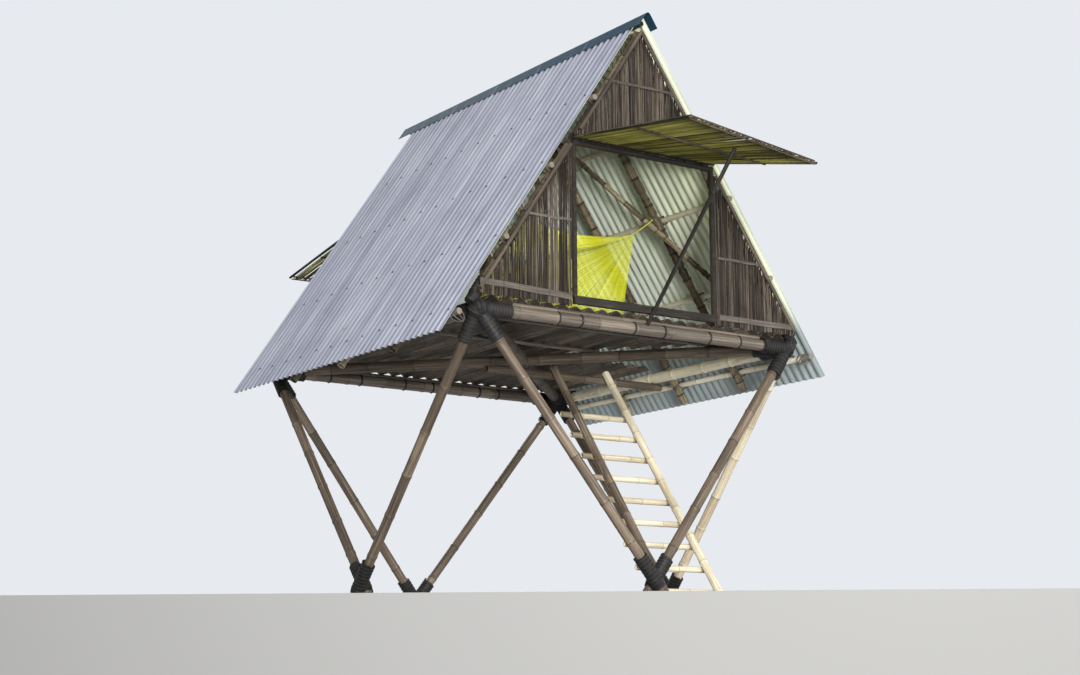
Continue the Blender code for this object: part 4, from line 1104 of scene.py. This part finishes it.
def add_reed(strands, start, end, radius, rng, steps=5, tone=0.5):
    """One dry reed: a little bent, a little tapered, with faint joints and dark ends."""
    axis = (end - start).normalized()
    side = axis.orthogonal().normalized()
    sway = side * rng.uniform(-REED_SWAY, REED_SWAY)
    sway += axis.cross(side) * rng.uniform(-REED_SWAY / 2, REED_SWAY / 2)
    tone = held_inside(rng.gauss(tone, REED_TONE_SPREAD), REED_TONE_MARGIN)
    path = []
    radii = []
    rings = []
    for step in range(steps + 1):
        share = step / steps
        path.append(start.lerp(end, share) + sway * sin(pi * share * rng.uniform(0.9, 1.1)))
        radii.append(radius * (1 - REED_TAPER_SHARE * share) * rng.uniform(*REED_WAVER_SHARES))
        rings.append(REED_JOINT_MARK if step % 2 else 0)
    rings[-1] = 1
    squash = rng.uniform(*REED_SQUASH_SHARES)
    strands.tube(path, radii, REED_SIDES, [tone] * len(path), rings, squash, rng.uniform(0, pi))


def make_gables(looks):
    """Upright reeds in each gable panel, with the strips that hold them and a pole along each slope."""
    for end, end_name in ENDS:
        for place in ("left", "right", "top"):
            node = f"gable_panel_{end_name}_{place}"
            rng = random.Random(node)
            tree = tree_of(node)
            low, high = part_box(node)
            middle = panel_middle(low, high, end)
            slits = reed_slits(low, high, rng)
            drop = 0 if place == "top" else REED_DROP
            strands = Strands()
            for layer in (-1, 1):
                y = middle + layer * PANEL_THICKNESS / 4
                x = low.x + REED_RADIUS
                tones = clump_tones(rng)
                while x < high.x - REED_RADIUS:
                    add_upright_reed(strands, tree, x, y, middle, low, high, slits, rng, next(tones), drop)
                    x += REED_PITCH * rng.uniform(*REED_STEP_SHARES)
            strands.made(f"{node}_reeds", looks["reed"], "reed", [node])
            make_battens(looks, node, place, end, low, high, tree)
            make_rakes(looks, node, end)


def reed_slits(low, high, rng):
    """Narrow gaps where broken reeds let light through: left, right, bottom and top of each."""
    slits = []
    for _ in range(REED_SLIT_COUNT):
        x = rng.uniform(low.x, high.x)
        z = low.z + (high.z - low.z) * rng.uniform(*SLIT_HEIGHT_SHARES)
        right = x + rng.uniform(*SLIT_WIDTH_SHARES) * REED_PITCH
        slits.append((x, right, z, z + rng.uniform(*SLIT_LENGTHS)))
    return slits


def clump_tones(rng, spread=CLUMP_TONE_SPREAD):
    """An endless run of tones in which a few neighbours at a time are alike."""
    while True:
        tone = rng.gauss(0.5, spread)
        for _ in range(rng.randint(*CLUMP_SIZES)):
            yield tone


def add_upright_reed(strands, tree, x, y, middle, low, high, slits, rng, tone, drop):
    """A reed from the panel's bottom to its sloping edge, or its two stubs beside a slit."""
    span = vertical_span(tree, x, middle, low.z, high.z)
    if span is None or span[1] - span[0] < 3 * REED_PITCH or rng.random() < REED_GAP_SHARE:
        return
    bottom = span[0] + rng.uniform(0, REED_RAGGED) - rng.uniform(*REED_DROP_SHARES) * drop
    top = span[1] - rng.uniform(0, REED_TOP_RAGGED) - REED_RADIUS
    lean = rng.gauss(0, REED_LEAN)
    if rng.random() < REED_LEANING_SHARE:
        lean = rng.uniform(-REED_STRONG_LEAN, REED_STRONG_LEAN)
    radius = REED_RADIUS * rng.uniform(*REED_SIZE_SHARES)
    top_x = min(high.x - radius, max(low.x + radius, x + lean))
    upper = vertical_span(tree, top_x, middle, low.z, high.z)
    if upper is not None:
        top = min(top, upper[1] - REED_RADIUS)
    y += rng.uniform(-REED_DEPTH_JITTER, REED_DEPTH_JITTER)
    start = Vector((x, y, bottom))
    end = Vector((top_x, y, top))
    stretches = [(0, 1)]
    for left, right, slit_low, slit_high in slits:
        if left < x < right and slit_low < top:
            below = (slit_low - bottom) / (top - bottom)
            above = (slit_high - bottom) / (top - bottom)
            stretches = [(0, below), (above, 1)] if above < 0.95 else [(0, below)]
    for first, last in stretches:
        if last - first > REED_LEAST_STRETCH_SHARE:
            add_reed(strands, start.lerp(end, first), start.lerp(end, last), radius, rng, tone=tone)


def make_rakes(looks, node, end):
    """The thin pole along each sloping edge of a gable panel."""
    points = points_of(node)
    outermost = np.abs(points[:, 1]).max()
    proud = np.abs(points[:, 1]) > outermost - RAKE_RADIUS * 0.7
    strands = Strands()
    rng = random.Random(f"{node} rake")
    for side, side_name in SIDES:
        ends = points[proud & (points[:, 0] * side > 0)]
        if len(ends) == 0:
            continue
        down, outward = slope_axes(side_name)
        start, _, purlin_radius = axis_of(f"purlin_{side_name}_1")
        line = start - outward * (purlin_radius + 2 * SEAT_GAP + RAKE_RADIUS)
        line.y = end * (outermost - RAKE_RADIUS)
        places = ends @ np.array(down) - line.dot(down)
        add_culm(strands, line + down * places.min(), line + down * places.max(), RAKE_RADIUS, rng,
                 sides=THIN_POLE_SIDES, hollow=(True, True), spacing=THIN_NODE_SPACING, tone=0.45)
    strands.made(f"{node}_rakes", looks["edge"], "reed")


def panel_middle(low, high, end):
    """The middle plane of a panel's reeds, behind the strips on its outer face."""
    return high.y - PANEL_THICKNESS / 2 if end < 0 else low.y + PANEL_THICKNESS / 2


def make_battens(looks, node, place, end, low, high, tree):
    """Split strips across the reeds, tied through at intervals."""
    rng = random.Random(f"{node} strips")
    y = panel_middle(low, high, end) + end * (PANEL_THICKNESS + BATTEN_DEPTH) / 2
    height = {"left": LEFT_BATTEN_HEIGHT, "right": RIGHT_BATTEN_HEIGHT, "top": TOP_BATTEN_HEIGHT}[place]
    spans = [(height, BATTEN_HALF_HEIGHT, 0)]
    if place != "top":
        spans.append((low.z + RAIL_HEIGHT, RAIL_HEIGHT / 2, LEFT_RAIL_TILT if place == "left" else 0))
    strands = Strands()
    ties = Strands()
    for height, half, tilt in spans:
        left = tree.ray_cast(Vector((low.x - RAY_START, y, height)), Vector((1, 0, 0)))[0]
        right = tree.ray_cast(Vector((high.x + RAY_START, y, height)), Vector((-1, 0, 0)))[0]
        start = Vector((left.x, y, height + rng.uniform(-BATTEN_WANDER, BATTEN_WANDER)))
        stop = Vector((right.x, y, height + rng.uniform(-BATTEN_WANDER, BATTEN_WANDER)))
        outer = start if abs(start.x) > abs(stop.x) else stop
        outer.z += tilt
        path = []
        for step in range(BATTEN_STEPS + 1):
            waver = Vector((0, 0, rng.uniform(-BATTEN_WAVER, BATTEN_WAVER)))
            path.append(start.lerp(stop, step / BATTEN_STEPS) + waver)
        strands.tube(path, [BATTEN_DEPTH / 2] * len(path), 8, [rng.uniform(0.2, 0.6)] * len(path),
                     squash=2 * half / BATTEN_DEPTH)
        count = max(2, round((stop.x - start.x) / STITCH_SPACING))
        deep = BATTEN_DEPTH + STITCH_CLEARANCE
        for index in range(count):
            middle = start.lerp(stop, (index + 0.5) / count) - Vector((0, end * BATTEN_DEPTH / 2, 0))
            path = []
            for step in range(STITCH_STEPS):
                angle = 2 * pi * step / STITCH_STEPS
                path.append(middle + Vector((0, deep * cos(angle), (half + STITCH_CLEARANCE) * sin(angle))))
            ties.loop(path, STITCH_RADIUS, 4, rng.random())
    strands.made(f"{node}_strips", looks["wood"], "reed")
    ties.made(f"{node}_ties", looks["cord"], "reed")


# Flaps
def flap_point(across, out):
    """A point of the front flap's middle surface, by its shares of the width and the reach."""
    inner = Vector(FLAP_INNER_LEFT).lerp(Vector(FLAP_INNER_RIGHT), across)
    outer = Vector(FLAP_OUTER_LEFT).lerp(Vector(FLAP_OUTER_RIGHT), across)
    return inner.lerp(outer, out)


def make_flaps(looks):
    """Two layers of reeds from the rim pole outwards, with sticks across them and a pole at each side."""
    for end, end_name in ENDS:
        node = f"flap_{end_name}"
        rng = random.Random(node)
        turned = Matrix.Identity(4) if end < 0 else Matrix.Rotation(pi, 4, "Z")
        for layer, layer_name, look in ((-1, "under", "flap"), (1, "upper", "flap_top")):
            reeds = Strands()
            across = FLAP_REED_MARGIN_SHARE
            tones = clump_tones(rng, FLAP_TONE_SPREAD)
            while across < 1 - FLAP_REED_MARGIN_SHARE:
                spread = rng.gauss(0, FLAP_REED_SPREAD_SHARE)
                stop_across = held_inside(across + spread, FLAP_REED_MARGIN_SHARE)
                start = flap_point(across, 0)
                stop = flap_point(stop_across, 1 - rng.uniform(0, FLAP_RAGGED_SHARE))
                jitter = rng.uniform(-FLAP_REED_JITTER, FLAP_REED_JITTER)
                lift = Vector((0, 0, layer * FLAP_REED_RADIUS * FLAP_REED_LIFT_SHARE + jitter))
                radius = FLAP_REED_RADIUS * rng.uniform(*FLAP_REED_SIZE_SHARES)
                add_reed(reeds, turned @ (start + lift), turned @ (stop + lift), radius, rng,
                         FLAP_REED_STEPS, next(tones))
                across += FLAP_REED_PITCH * rng.uniform(*FLAP_REED_STEP_SHARES)
            reeds.made(f"{node}_{layer_name}_reeds", looks[look], "flap_reed", [node])
        sticks = Strands()
        rims = Strands()
        overhang = Vector((FLAP_RIM_OVERHANG, 0, 0))
        low = flap_point(0, 0) - overhang
        high = flap_point(1, 0) + overhang
        add_culm(rims, turned @ low, turned @ high, FLAP_RIM_RADIUS, rng, sides=THIN_POLE_SIDES,
                 hollow=(True, True), tone=0.4, spacing=FLAP_RIM_NODE_SPACING)
        stick = {"sides": STICK_SIDES, "tone": FLAP_STICK_TONE, "spacing": FLAP_STICK_NODE_SPACING}
        for out, level, size in FLAP_STICKS:
            drop = Vector((0, 0, level * (FLAP_THICKNESS / 2 + size * FLAP_STICK_SINK_SHARE)))
            start, stop = (turned @ (flap_point(share, out) + drop) for share in FLAP_STICK_SHARES)
            add_culm(sticks, start, stop, size, rng, **stick)
        for share in FLAP_SIDE_SHARES:
            start, stop = (turned @ flap_point(share, out) for out in (0, FLAP_SIDE_REACH_SHARE))
            add_culm(rims, start, stop, FLAP_SIDE_RADIUS, rng, **stick)
        sticks.made(f"{node}_sticks", looks["edge"], "flap_reed")
        rims.made(f"{node}_rims", looks["dark"], "flap_reed")


# Floor
def make_deck(looks):
    """Split culms with narrow gaps, open side down, on thin joists, cut round the hatch."""
    rng = random.Random("deck")
    low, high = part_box("deck")
    tree = tree_of("deck")
    half = axis_of("floor_beam_right")[0].x - DECK_SIDE_INSET
    count = max(2, round(2 * half / SLAT_PITCH))
    pitch = 2 * half / count
    bottom = ray_height(tree, -half + pitch * 2, DECK_CLEAR_Y, low.z - RAY_START, 1)
    strands = Strands()
    for index in range(count):
        centre = -half + pitch * (index + 0.5)

        def is_slat(y):
            height = ray_height(tree, centre, y, high.z + RAY_START, -1)
            return height is not None and height > bottom

        for start, end in solid_runs(low.y, high.y, SLAT_SCAN_STEP, is_slat):
            add_slat(strands, centre, pitch, bottom, start, end, rng)
    strands.made("deck_slats", looks["slats"], "slats", ["deck"])
    make_joists(looks, tree, low, high)


def solid_runs(first, last, step, is_solid):
    """The stretches between two places in which a test holds, found in small steps."""
    runs = []
    start = None
    place = first + step / 2
    while place < last:
        solid = is_solid(place)
        if solid and start is None:
            start = place - step / 2
        if not solid and start is not None:
            runs.append((start, place - step / 2))
            start = None
        place += step
    if start is not None:
        runs.append((start, last))
    return runs


def add_slat(strands, centre, pitch, bottom, y_start, y_end, rng):
    """One half culm, open side down, with uneven ends and node ridges."""
    half = (pitch - SLAT_GAP) / 2 * rng.uniform(*SLAT_WIDTH_SHARES)
    rise = SLAT_RISE * rng.uniform(*SLAT_RISE_SHARES)
    tone = held_inside(rng.gauss(0.5, SLAT_TONE_SPREAD), TONE_MARGIN)
    begin = y_start + rng.uniform(0, SLAT_RAGGED)
    finish = y_end - rng.uniform(0, SLAT_RAGGED)
    stations = [(begin, 0, SLAT_END_MARK), (begin + SLAT_THICKNESS, 0, 0)]
    for place in node_places(finish - begin, NODE_SPACING, rng):
        y = begin + place
        if begin + SLAT_NODE_MARGIN < y < finish - SLAT_NODE_MARGIN:
            for at, proud, mark in ((-1, 0, 0), (0, SLAT_NODE_RISE, 1), (1, 0, 0)):
                stations.append((y + at * SLAT_NODE_HALF_WIDTH, proud, mark))
    stations += [(finish - SLAT_THICKNESS, 0, 0), (finish, 0, SLAT_END_MARK)]
    base = len(strands.points)
    shift = rng.uniform(0, 9)
    there = [step / SLAT_STEPS for step in range(SLAT_STEPS + 1)]
    for y, proud, mark in stations:
        for shares, lift in ((there, SLAT_THICKNESS + proud), (there[::-1], 0)):
            for share in shares:
                x = centre - half + 2 * half * share
                z = bottom + rise * sin(pi * share) + lift
                strands.point(Vector((x, y, z)), (x - centre + shift, z, y + shift), mark, tone)
    strands.plate(base, len(stations), SLAT_STEPS)


def make_joists(looks, tree, low, high):
    """Thin poles across the beams under the slats, found from below and cut round the hatch."""
    rng = random.Random("joists")
    strands = Strands()

    def is_joist(x, y):
        height = ray_height(tree, x, y, low.z - RAY_START, 1)
        return height is not None and height < low.z + JOIST_LEVEL

    z = low.z + JOIST_RADIUS * cos(pi / 6)
    inset = low.x + JOIST_SCAN_INSET
    rows = solid_runs(low.y - JOIST_Y_STEP / 2, high.y, JOIST_Y_STEP, lambda y: is_joist(inset, y))
    for first, last in rows:
        y = (first + last) / 2
        # Stretches that reach the deck's right edge are not drawn
        for start, end in solid_runs(low.x, high.x + JOIST_X_STEP, JOIST_X_STEP, lambda x: is_joist(x, y)):
            if end < high.x and end - start > JOIST_LEAST_LENGTH:
                add_culm(strands, (start, y, z), (end, y, z), JOIST_RADIUS, rng, sides=THIN_POLE_SIDES,
                         hollow=(True, True), tone=0.42, spacing=JOIST_NODE_SPACING)
    strands.made("deck_joists", looks["beam"], "slats")


# Roof
def make_roof(looks):
    for _, side_name in SIDES:
        paint(f"roof_sheets_{side_name}", looks["metal"])
        make_nails(looks, side_name)
        make_laps(looks, side_name)
    paint("ridge_cap", looks["cap"])


def paint(node, material):
    """Gives a CAD node its finished material."""
    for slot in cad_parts[node].material_slots:
        slot.material = material
    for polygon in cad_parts[node].data.polygons:
        polygon.use_smooth = True


def sheet_frame(side_name):
    """A slope's directions and the line of its crests: down, outward, and a point on the crests."""
    down, outward = slope_axes(side_name)
    start, _, radius = axis_of(f"purlin_{side_name}_1")
    return down, outward, start + outward * (radius + WAVE_DEPTH + SHEET_THICKNESS)


def make_nails(looks, side_name):
    """Domed nail heads on the crests over each purlin, with their washers."""
    down, outward, crest = sheet_frame(side_name)
    rng = random.Random(f"nails {side_name}")
    strands = Strands()
    low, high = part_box(f"roof_sheets_{side_name}")
    waves = round((high.y - low.y) / WAVE_PITCH)
    for purlin in range(1, PURLIN_COUNT + 1):
        start = axis_of(f"purlin_{side_name}_{purlin}")[0]
        for wave in range(1, waves, NAIL_EVERY):
            drift = down * rng.uniform(-NAIL_DRIFT, NAIL_DRIFT)
            place = start + outward * (start - crest).dot(outward) * -1 + drift
            place.y = low.y + WAVE_PITCH * wave
            path = [place + outward * height for height, _ in NAIL_PROFILE]
            strands.tube(path, [NAIL_RADIUS * share for _, share in NAIL_PROFILE], 8, [0.5] * len(path))
    strands.made(f"roof_nails_{side_name}", looks["nail"], "galvanised")


def make_laps(looks, side_name):
    """The free edge of each sheet where it laps over its neighbour's last wave."""
    down, outward, crest = sheet_frame(side_name)
    low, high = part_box(f"roof_sheets_{side_name}")
    slope = (high.z - low.z) / -down.z
    waves = round((high.y - low.y) / WAVE_PITCH)
    top = crest + down * ((crest.z - high.z) / -down.z + LAP_TOP_DROP)
    rows = max(2, ceil(slope / LAP_ROW_LENGTH))
    first, last = LAP_WAVE_SHARES
    phases = [first + (last - first) * step / LAP_STEPS for step in range(LAP_STEPS + 1)]
    strands = Strands()
    for sheet in range(1, SHEET_COUNT):
        wave = round(waves * sheet / SHEET_COUNT)
        base = len(strands.points)
        for row in range(rows + 1):
            along = (slope - LAP_END_CUT) * row / rows
            for side, lift in ((phases, LAP_HIGH_LIFT), (phases[::-1], LAP_LOW_LIFT)):
                for phase in side:
                    depth = WAVE_DEPTH * (1 - cos(2 * pi * phase)) / 2
                    place = top + down * along - outward * (depth - lift)
                    place.y = low.y + WAVE_PITCH * (wave + phase)
                    strands.point(place, tuple(place), 0, 0.5)
        strands.plate(base, rows + 1, LAP_STEPS)
    strands.made(f"roof_laps_{side_name}", looks["metal"], "galvanised")


# Net
def net_corner(x_side, y_side, drop):
    """A corner of the net at a share of its drop."""
    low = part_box("mosquito_net")[0].z
    left = NET_TOP_LEFT + (NET_BOTTOM_LEFT - NET_TOP_LEFT) * drop
    right = NET_TOP_RIGHT + (NET_BOTTOM_RIGHT - NET_TOP_RIGHT) * drop
    reach = NET_TOP_REACH + (NET_BOTTOM_REACH - NET_TOP_REACH) * drop
    height = NET_TOP_HEIGHT + (low - NET_TOP_HEIGHT) * drop
    return Vector((left if x_side < 0 else right, y_side * reach, height))


def make_net(looks):
    """The net: four walls with folds that fan out from its hung corners, and a sagging top."""
    rng = random.Random("net")
    bm = bmesh.new()
    fan = bm.verts.layers.float_vector.new("fan")
    tops = []
    for index, (first, second) in enumerate(zip(CORNERS, CORNERS[1:] + CORNERS[:1])):
        rows = net_wall(bm, fan, index, first, second, rng.uniform(0, 6))
        tops.append(rows[0])
    make_net_top(bm, fan, tops)
    bmesh.ops.remove_doubles(bm, verts=bm.verts, dist=NET_WELD)
    mesh = bpy.data.meshes.new("net_cloth")
    write_mesh(bm, mesh)
    mesh.shade_smooth()
    net = linked("net_cloth", mesh)
    mesh.materials.append(looks["net"])
    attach(net, "root")
    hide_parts("mosquito_net")
    strings = make_net_strings(looks)


def join_rows(bm, rows):
    """Quads between neighbouring rows of points."""
    for upper, lower in zip(rows, rows[1:]):
        for column in range(len(upper) - 1):
            bm.faces.new((upper[column], upper[column + 1], lower[column + 1], lower[column]))


def net_wall(bm, fan, index, first, second, phase):
    """One wall of the net between two of its corners, row by row from its top edge down."""
    rows = []
    tall = NET_TOP_HEIGHT - net_corner(*first, 1).z
    for row in range(NET_ROWS + 1):
        drop = row / NET_ROWS
        a = net_corner(*first, drop)
        b = net_corner(*second, drop)
        along = b - a
        normal = Vector((along.y, -along.x, 0)).normalized()
        line = []
        for column in range(NET_COLUMNS + 1):
            share = column / NET_COLUMNS
            sag = NET_SAG * 4 * share * (1 - share) * (1 - drop) ** 2
            fold = fan_fold(share * along.length, drop * tall, phase)
            fold += fan_fold((1 - share) * along.length, drop * tall, phase + 2)
            edge = min(1, 12 * share, 12 * (1 - share)) * min(1, 8 * drop)
            place = a.lerp(b, share) - normal * (NET_FOLD * (1 + fold * edge) + NET_INSET + sag * 0.6)
            place.z = a.z + NET_HEM_GAP if drop == 1 else place.z - sag
            point = bm.verts.new(place)
            across = (1 - share) * along.length
            point[fan] = (atan2(drop * tall, across), sqrt(across ** 2 + (drop * tall) ** 2), index)
            line.append(point)
        rows.append(line)
    join_rows(bm, rows)
    return rows


def fan_fold(across, down, phase):
    """A fold's height, by the angle at which a point lies from a hung corner."""
    distance = sqrt(across * across + down * down)
    if distance == 0:
        return 0
    angle = atan2(down, across)
    wave = sin(angle * NET_FOLD_COUNT + phase) + 0.5 * sin(angle * NET_FOLD_COUNT * 2.3 + 2 * phase)
    return wave * min(1, distance / NET_FOLD_FADE) * max(0, 1 - distance / NET_FOLD_REACH) * 0.8


def make_net_top(bm, fan, tops):
    """The net's top, a sheet that sags between its four edges."""
    front, right, back, left = tops
    count = NET_COLUMNS
    grid = []
    for row in range(count + 1):
        line = []
        start = left[count - row].co
        end = right[row].co
        for column in range(count + 1):
            if row == 0:
                line.append(front[column])
            elif row == count:
                line.append(back[count - column])
            elif column == 0:
                line.append(left[count - row])
            elif column == count:
                line.append(right[row])
            else:
                u = column / count
                v = row / count
                blend = start.lerp(end, u) + front[column].co.lerp(back[count - column].co, v)
                corner = (front[0].co * (1 - u) * (1 - v) + front[count].co * u * (1 - v)
                          + back[0].co * u * v + back[count].co * (1 - u) * v)
                place = blend - corner
                place.z -= NET_SAG * 16 * u * (1 - u) * v * (1 - v) * 0.9
                point = bm.verts.new(place)
                near = (min(u, 1 - u), min(v, 1 - v))
                point[fan] = (atan2(near[1], near[0]), 2 * sqrt(near[0] ** 2 + near[1] ** 2), len(tops))
                line.append(point)
        grid.append(line)
    join_rows(bm, grid)


def make_net_strings(looks):
    """A string from each top corner of the net to the nearest rafter."""
    strands = Strands()
    points = points_of("mosquito_net")
    points = points[points[:, 2] > NET_TOP_HEIGHT + NET_STRING_REACH]
    for x_side, y_side in CORNERS:
        end = Vector(points[(points[:, 0] * x_side > 0) & (points[:, 1] * y_side > 0)].mean(0))
        start = net_corner(x_side, y_side, 0) + Vector((-x_side, -y_side, 0)) * NET_STRING_INSET
        path = []
        for step in range(NET_STRING_STEPS + 1):
            share = step / NET_STRING_STEPS
            path.append(start.lerp(end, share) - Vector((0, 0, NET_STRING_SAG)) * sin(pi * share))
        strands.tube(path, [NET_STRING_RADIUS] * len(path), 6, [0.7] * len(path))
    return strands.made("net_strings", looks["net_string"], "net")


# Stage
def camera_axes():
    """The camera's right, up and forward directions."""
    level = Vector((sin(CAMERA_YAW), cos(CAMERA_YAW), 0))
    forward = level * cos(CAMERA_PITCH) + Vector((0, 0, sin(CAMERA_PITCH)))
    right = Vector((level.y, -level.x, 0))
    up = right.cross(forward)
    rolled_right = right * cos(CAMERA_ROLL) + up * sin(CAMERA_ROLL)
    rolled_up = up * cos(CAMERA_ROLL) - right * sin(CAMERA_ROLL)
    return rolled_right, rolled_up, forward


def make_camera():
    data = bpy.data.cameras.new("camera")
    data.sensor_width = SENSOR_WIDTH
    data.lens = SENSOR_WIDTH * FOCAL_PIXELS / PHOTO_WIDTH
    camera = linked("camera", data)
    right, up, forward = camera_axes()
    turn = Matrix((right, up, -forward)).transposed().to_4x4()
    camera.matrix_world = Matrix.Translation(CAMERA_PLACE) @ turn
    bpy.context.scene.camera = camera


def make_floor():
    """A pale level floor, which begins just in front of the front foot as the camera sees it."""
    ahead = Vector((sin(CAMERA_YAW), cos(CAMERA_YAW), 0))
    aside = Vector((cos(CAMERA_YAW), -sin(CAMERA_YAW), 0))
    origin = Vector((CAMERA_PLACE[0], CAMERA_PLACE[1], 0))
    near = origin + ahead * FLOOR_EDGE_DISTANCE
    bm = bmesh.new()
    top = []
    for depth, side in ((0, -1), (0, 1), (FLOOR_DEPTH, 1), (FLOOR_DEPTH, -1)):
        top.append(bm.verts.new(near + ahead * depth + aside * FLOOR_HALF_WIDTH * side))
    bottom = [bm.verts.new(v.co - Vector((0, 0, FLOOR_THICKNESS))) for v in top]
    bm.faces.new(top)
    bm.faces.new(bottom[::-1])
    for index in range(4):
        after = (index + 1) % 4
        bm.faces.new((top[index], bottom[index], bottom[after], top[after])).material_index = 1
    mesh = bpy.data.meshes.new("floor")
    write_mesh(bm, mesh)
    for name, colour in FLOOR_PAINTS:
        mesh.materials.append(Shading(name).done(colour, 0.8))
    linked("floor", mesh)


def make_light(name, place, target, size, power, colour):
    data = bpy.data.lights.new(name, "AREA")
    data.shape = "SQUARE"
    data.size = size
    data.energy = power
    data.color = colour
    light = linked(name, data)
    direction = Vector(target) - Vector(place)
    light.matrix_world = Matrix.Translation(place) @ direction.to_track_quat("-Z", "Y").to_matrix().to_4x4()


def make_world():
    """A dim even studio for what it lights, and a pale backdrop for what sees or mirrors it."""
    world = bpy.data.worlds.new("studio")
    bpy.context.scene.world = world
    world.use_nodes = True
    tree = world.node_tree
    background = tree.nodes["Background"]
    background.inputs["Color"].default_value = WORLD_COLOUR
    background.inputs["Strength"].default_value = WORLD_STRENGTH
    shown = tree.nodes.new("ShaderNodeBackground")
    shown.inputs["Color"].default_value = BACKDROP_COLOUR
    shown.inputs["Strength"].default_value = 1
    path = tree.nodes.new("ShaderNodeLightPath")
    seen = path.outputs["Is Camera Ray"]
    for ray in ("Is Glossy Ray", "Is Transmission Ray"):
        either = tree.nodes.new("ShaderNodeMath")
        either.operation = "MAXIMUM"
        tree.links.new(seen, either.inputs[0])
        tree.links.new(path.outputs[ray], either.inputs[1])
        seen = either.outputs["Value"]
    mix = tree.nodes.new("ShaderNodeMixShader")
    tree.links.new(seen, mix.inputs["Fac"])
    tree.links.new(background.outputs["Background"], mix.inputs[1])
    tree.links.new(shown.outputs["Background"], mix.inputs[2])
    tree.links.new(mix.outputs["Shader"], tree.nodes["World Output"].inputs["Surface"])


def make_stage():
    make_camera()
    make_floor()
    make_world()
    for light in LIGHTS:
        make_light(*light)
    bpy.context.scene.view_settings.view_transform = "Standard"


def main():
    looks = make_materials()
    make_stage()
    make_legs(looks)
    make_straight_poles(looks)
    make_rafters(looks)
    make_ladder(looks)
    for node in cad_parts:
        if node.startswith(("corner_joint", "foot_wrap")):
            paint(node, looks["rubber"])
        # The opening's frame is near-black: painted shade
        if node.startswith("opening_frame"):
            paint(node, looks["plank"])
    make_corner_wraps(looks)
    make_foot_wraps(looks)
    make_ties(looks)
    make_beam_bands(looks)
    make_gables(looks)
    make_flaps(looks)
    make_deck(looks)
    make_roof(looks)
    make_net(looks)


main()
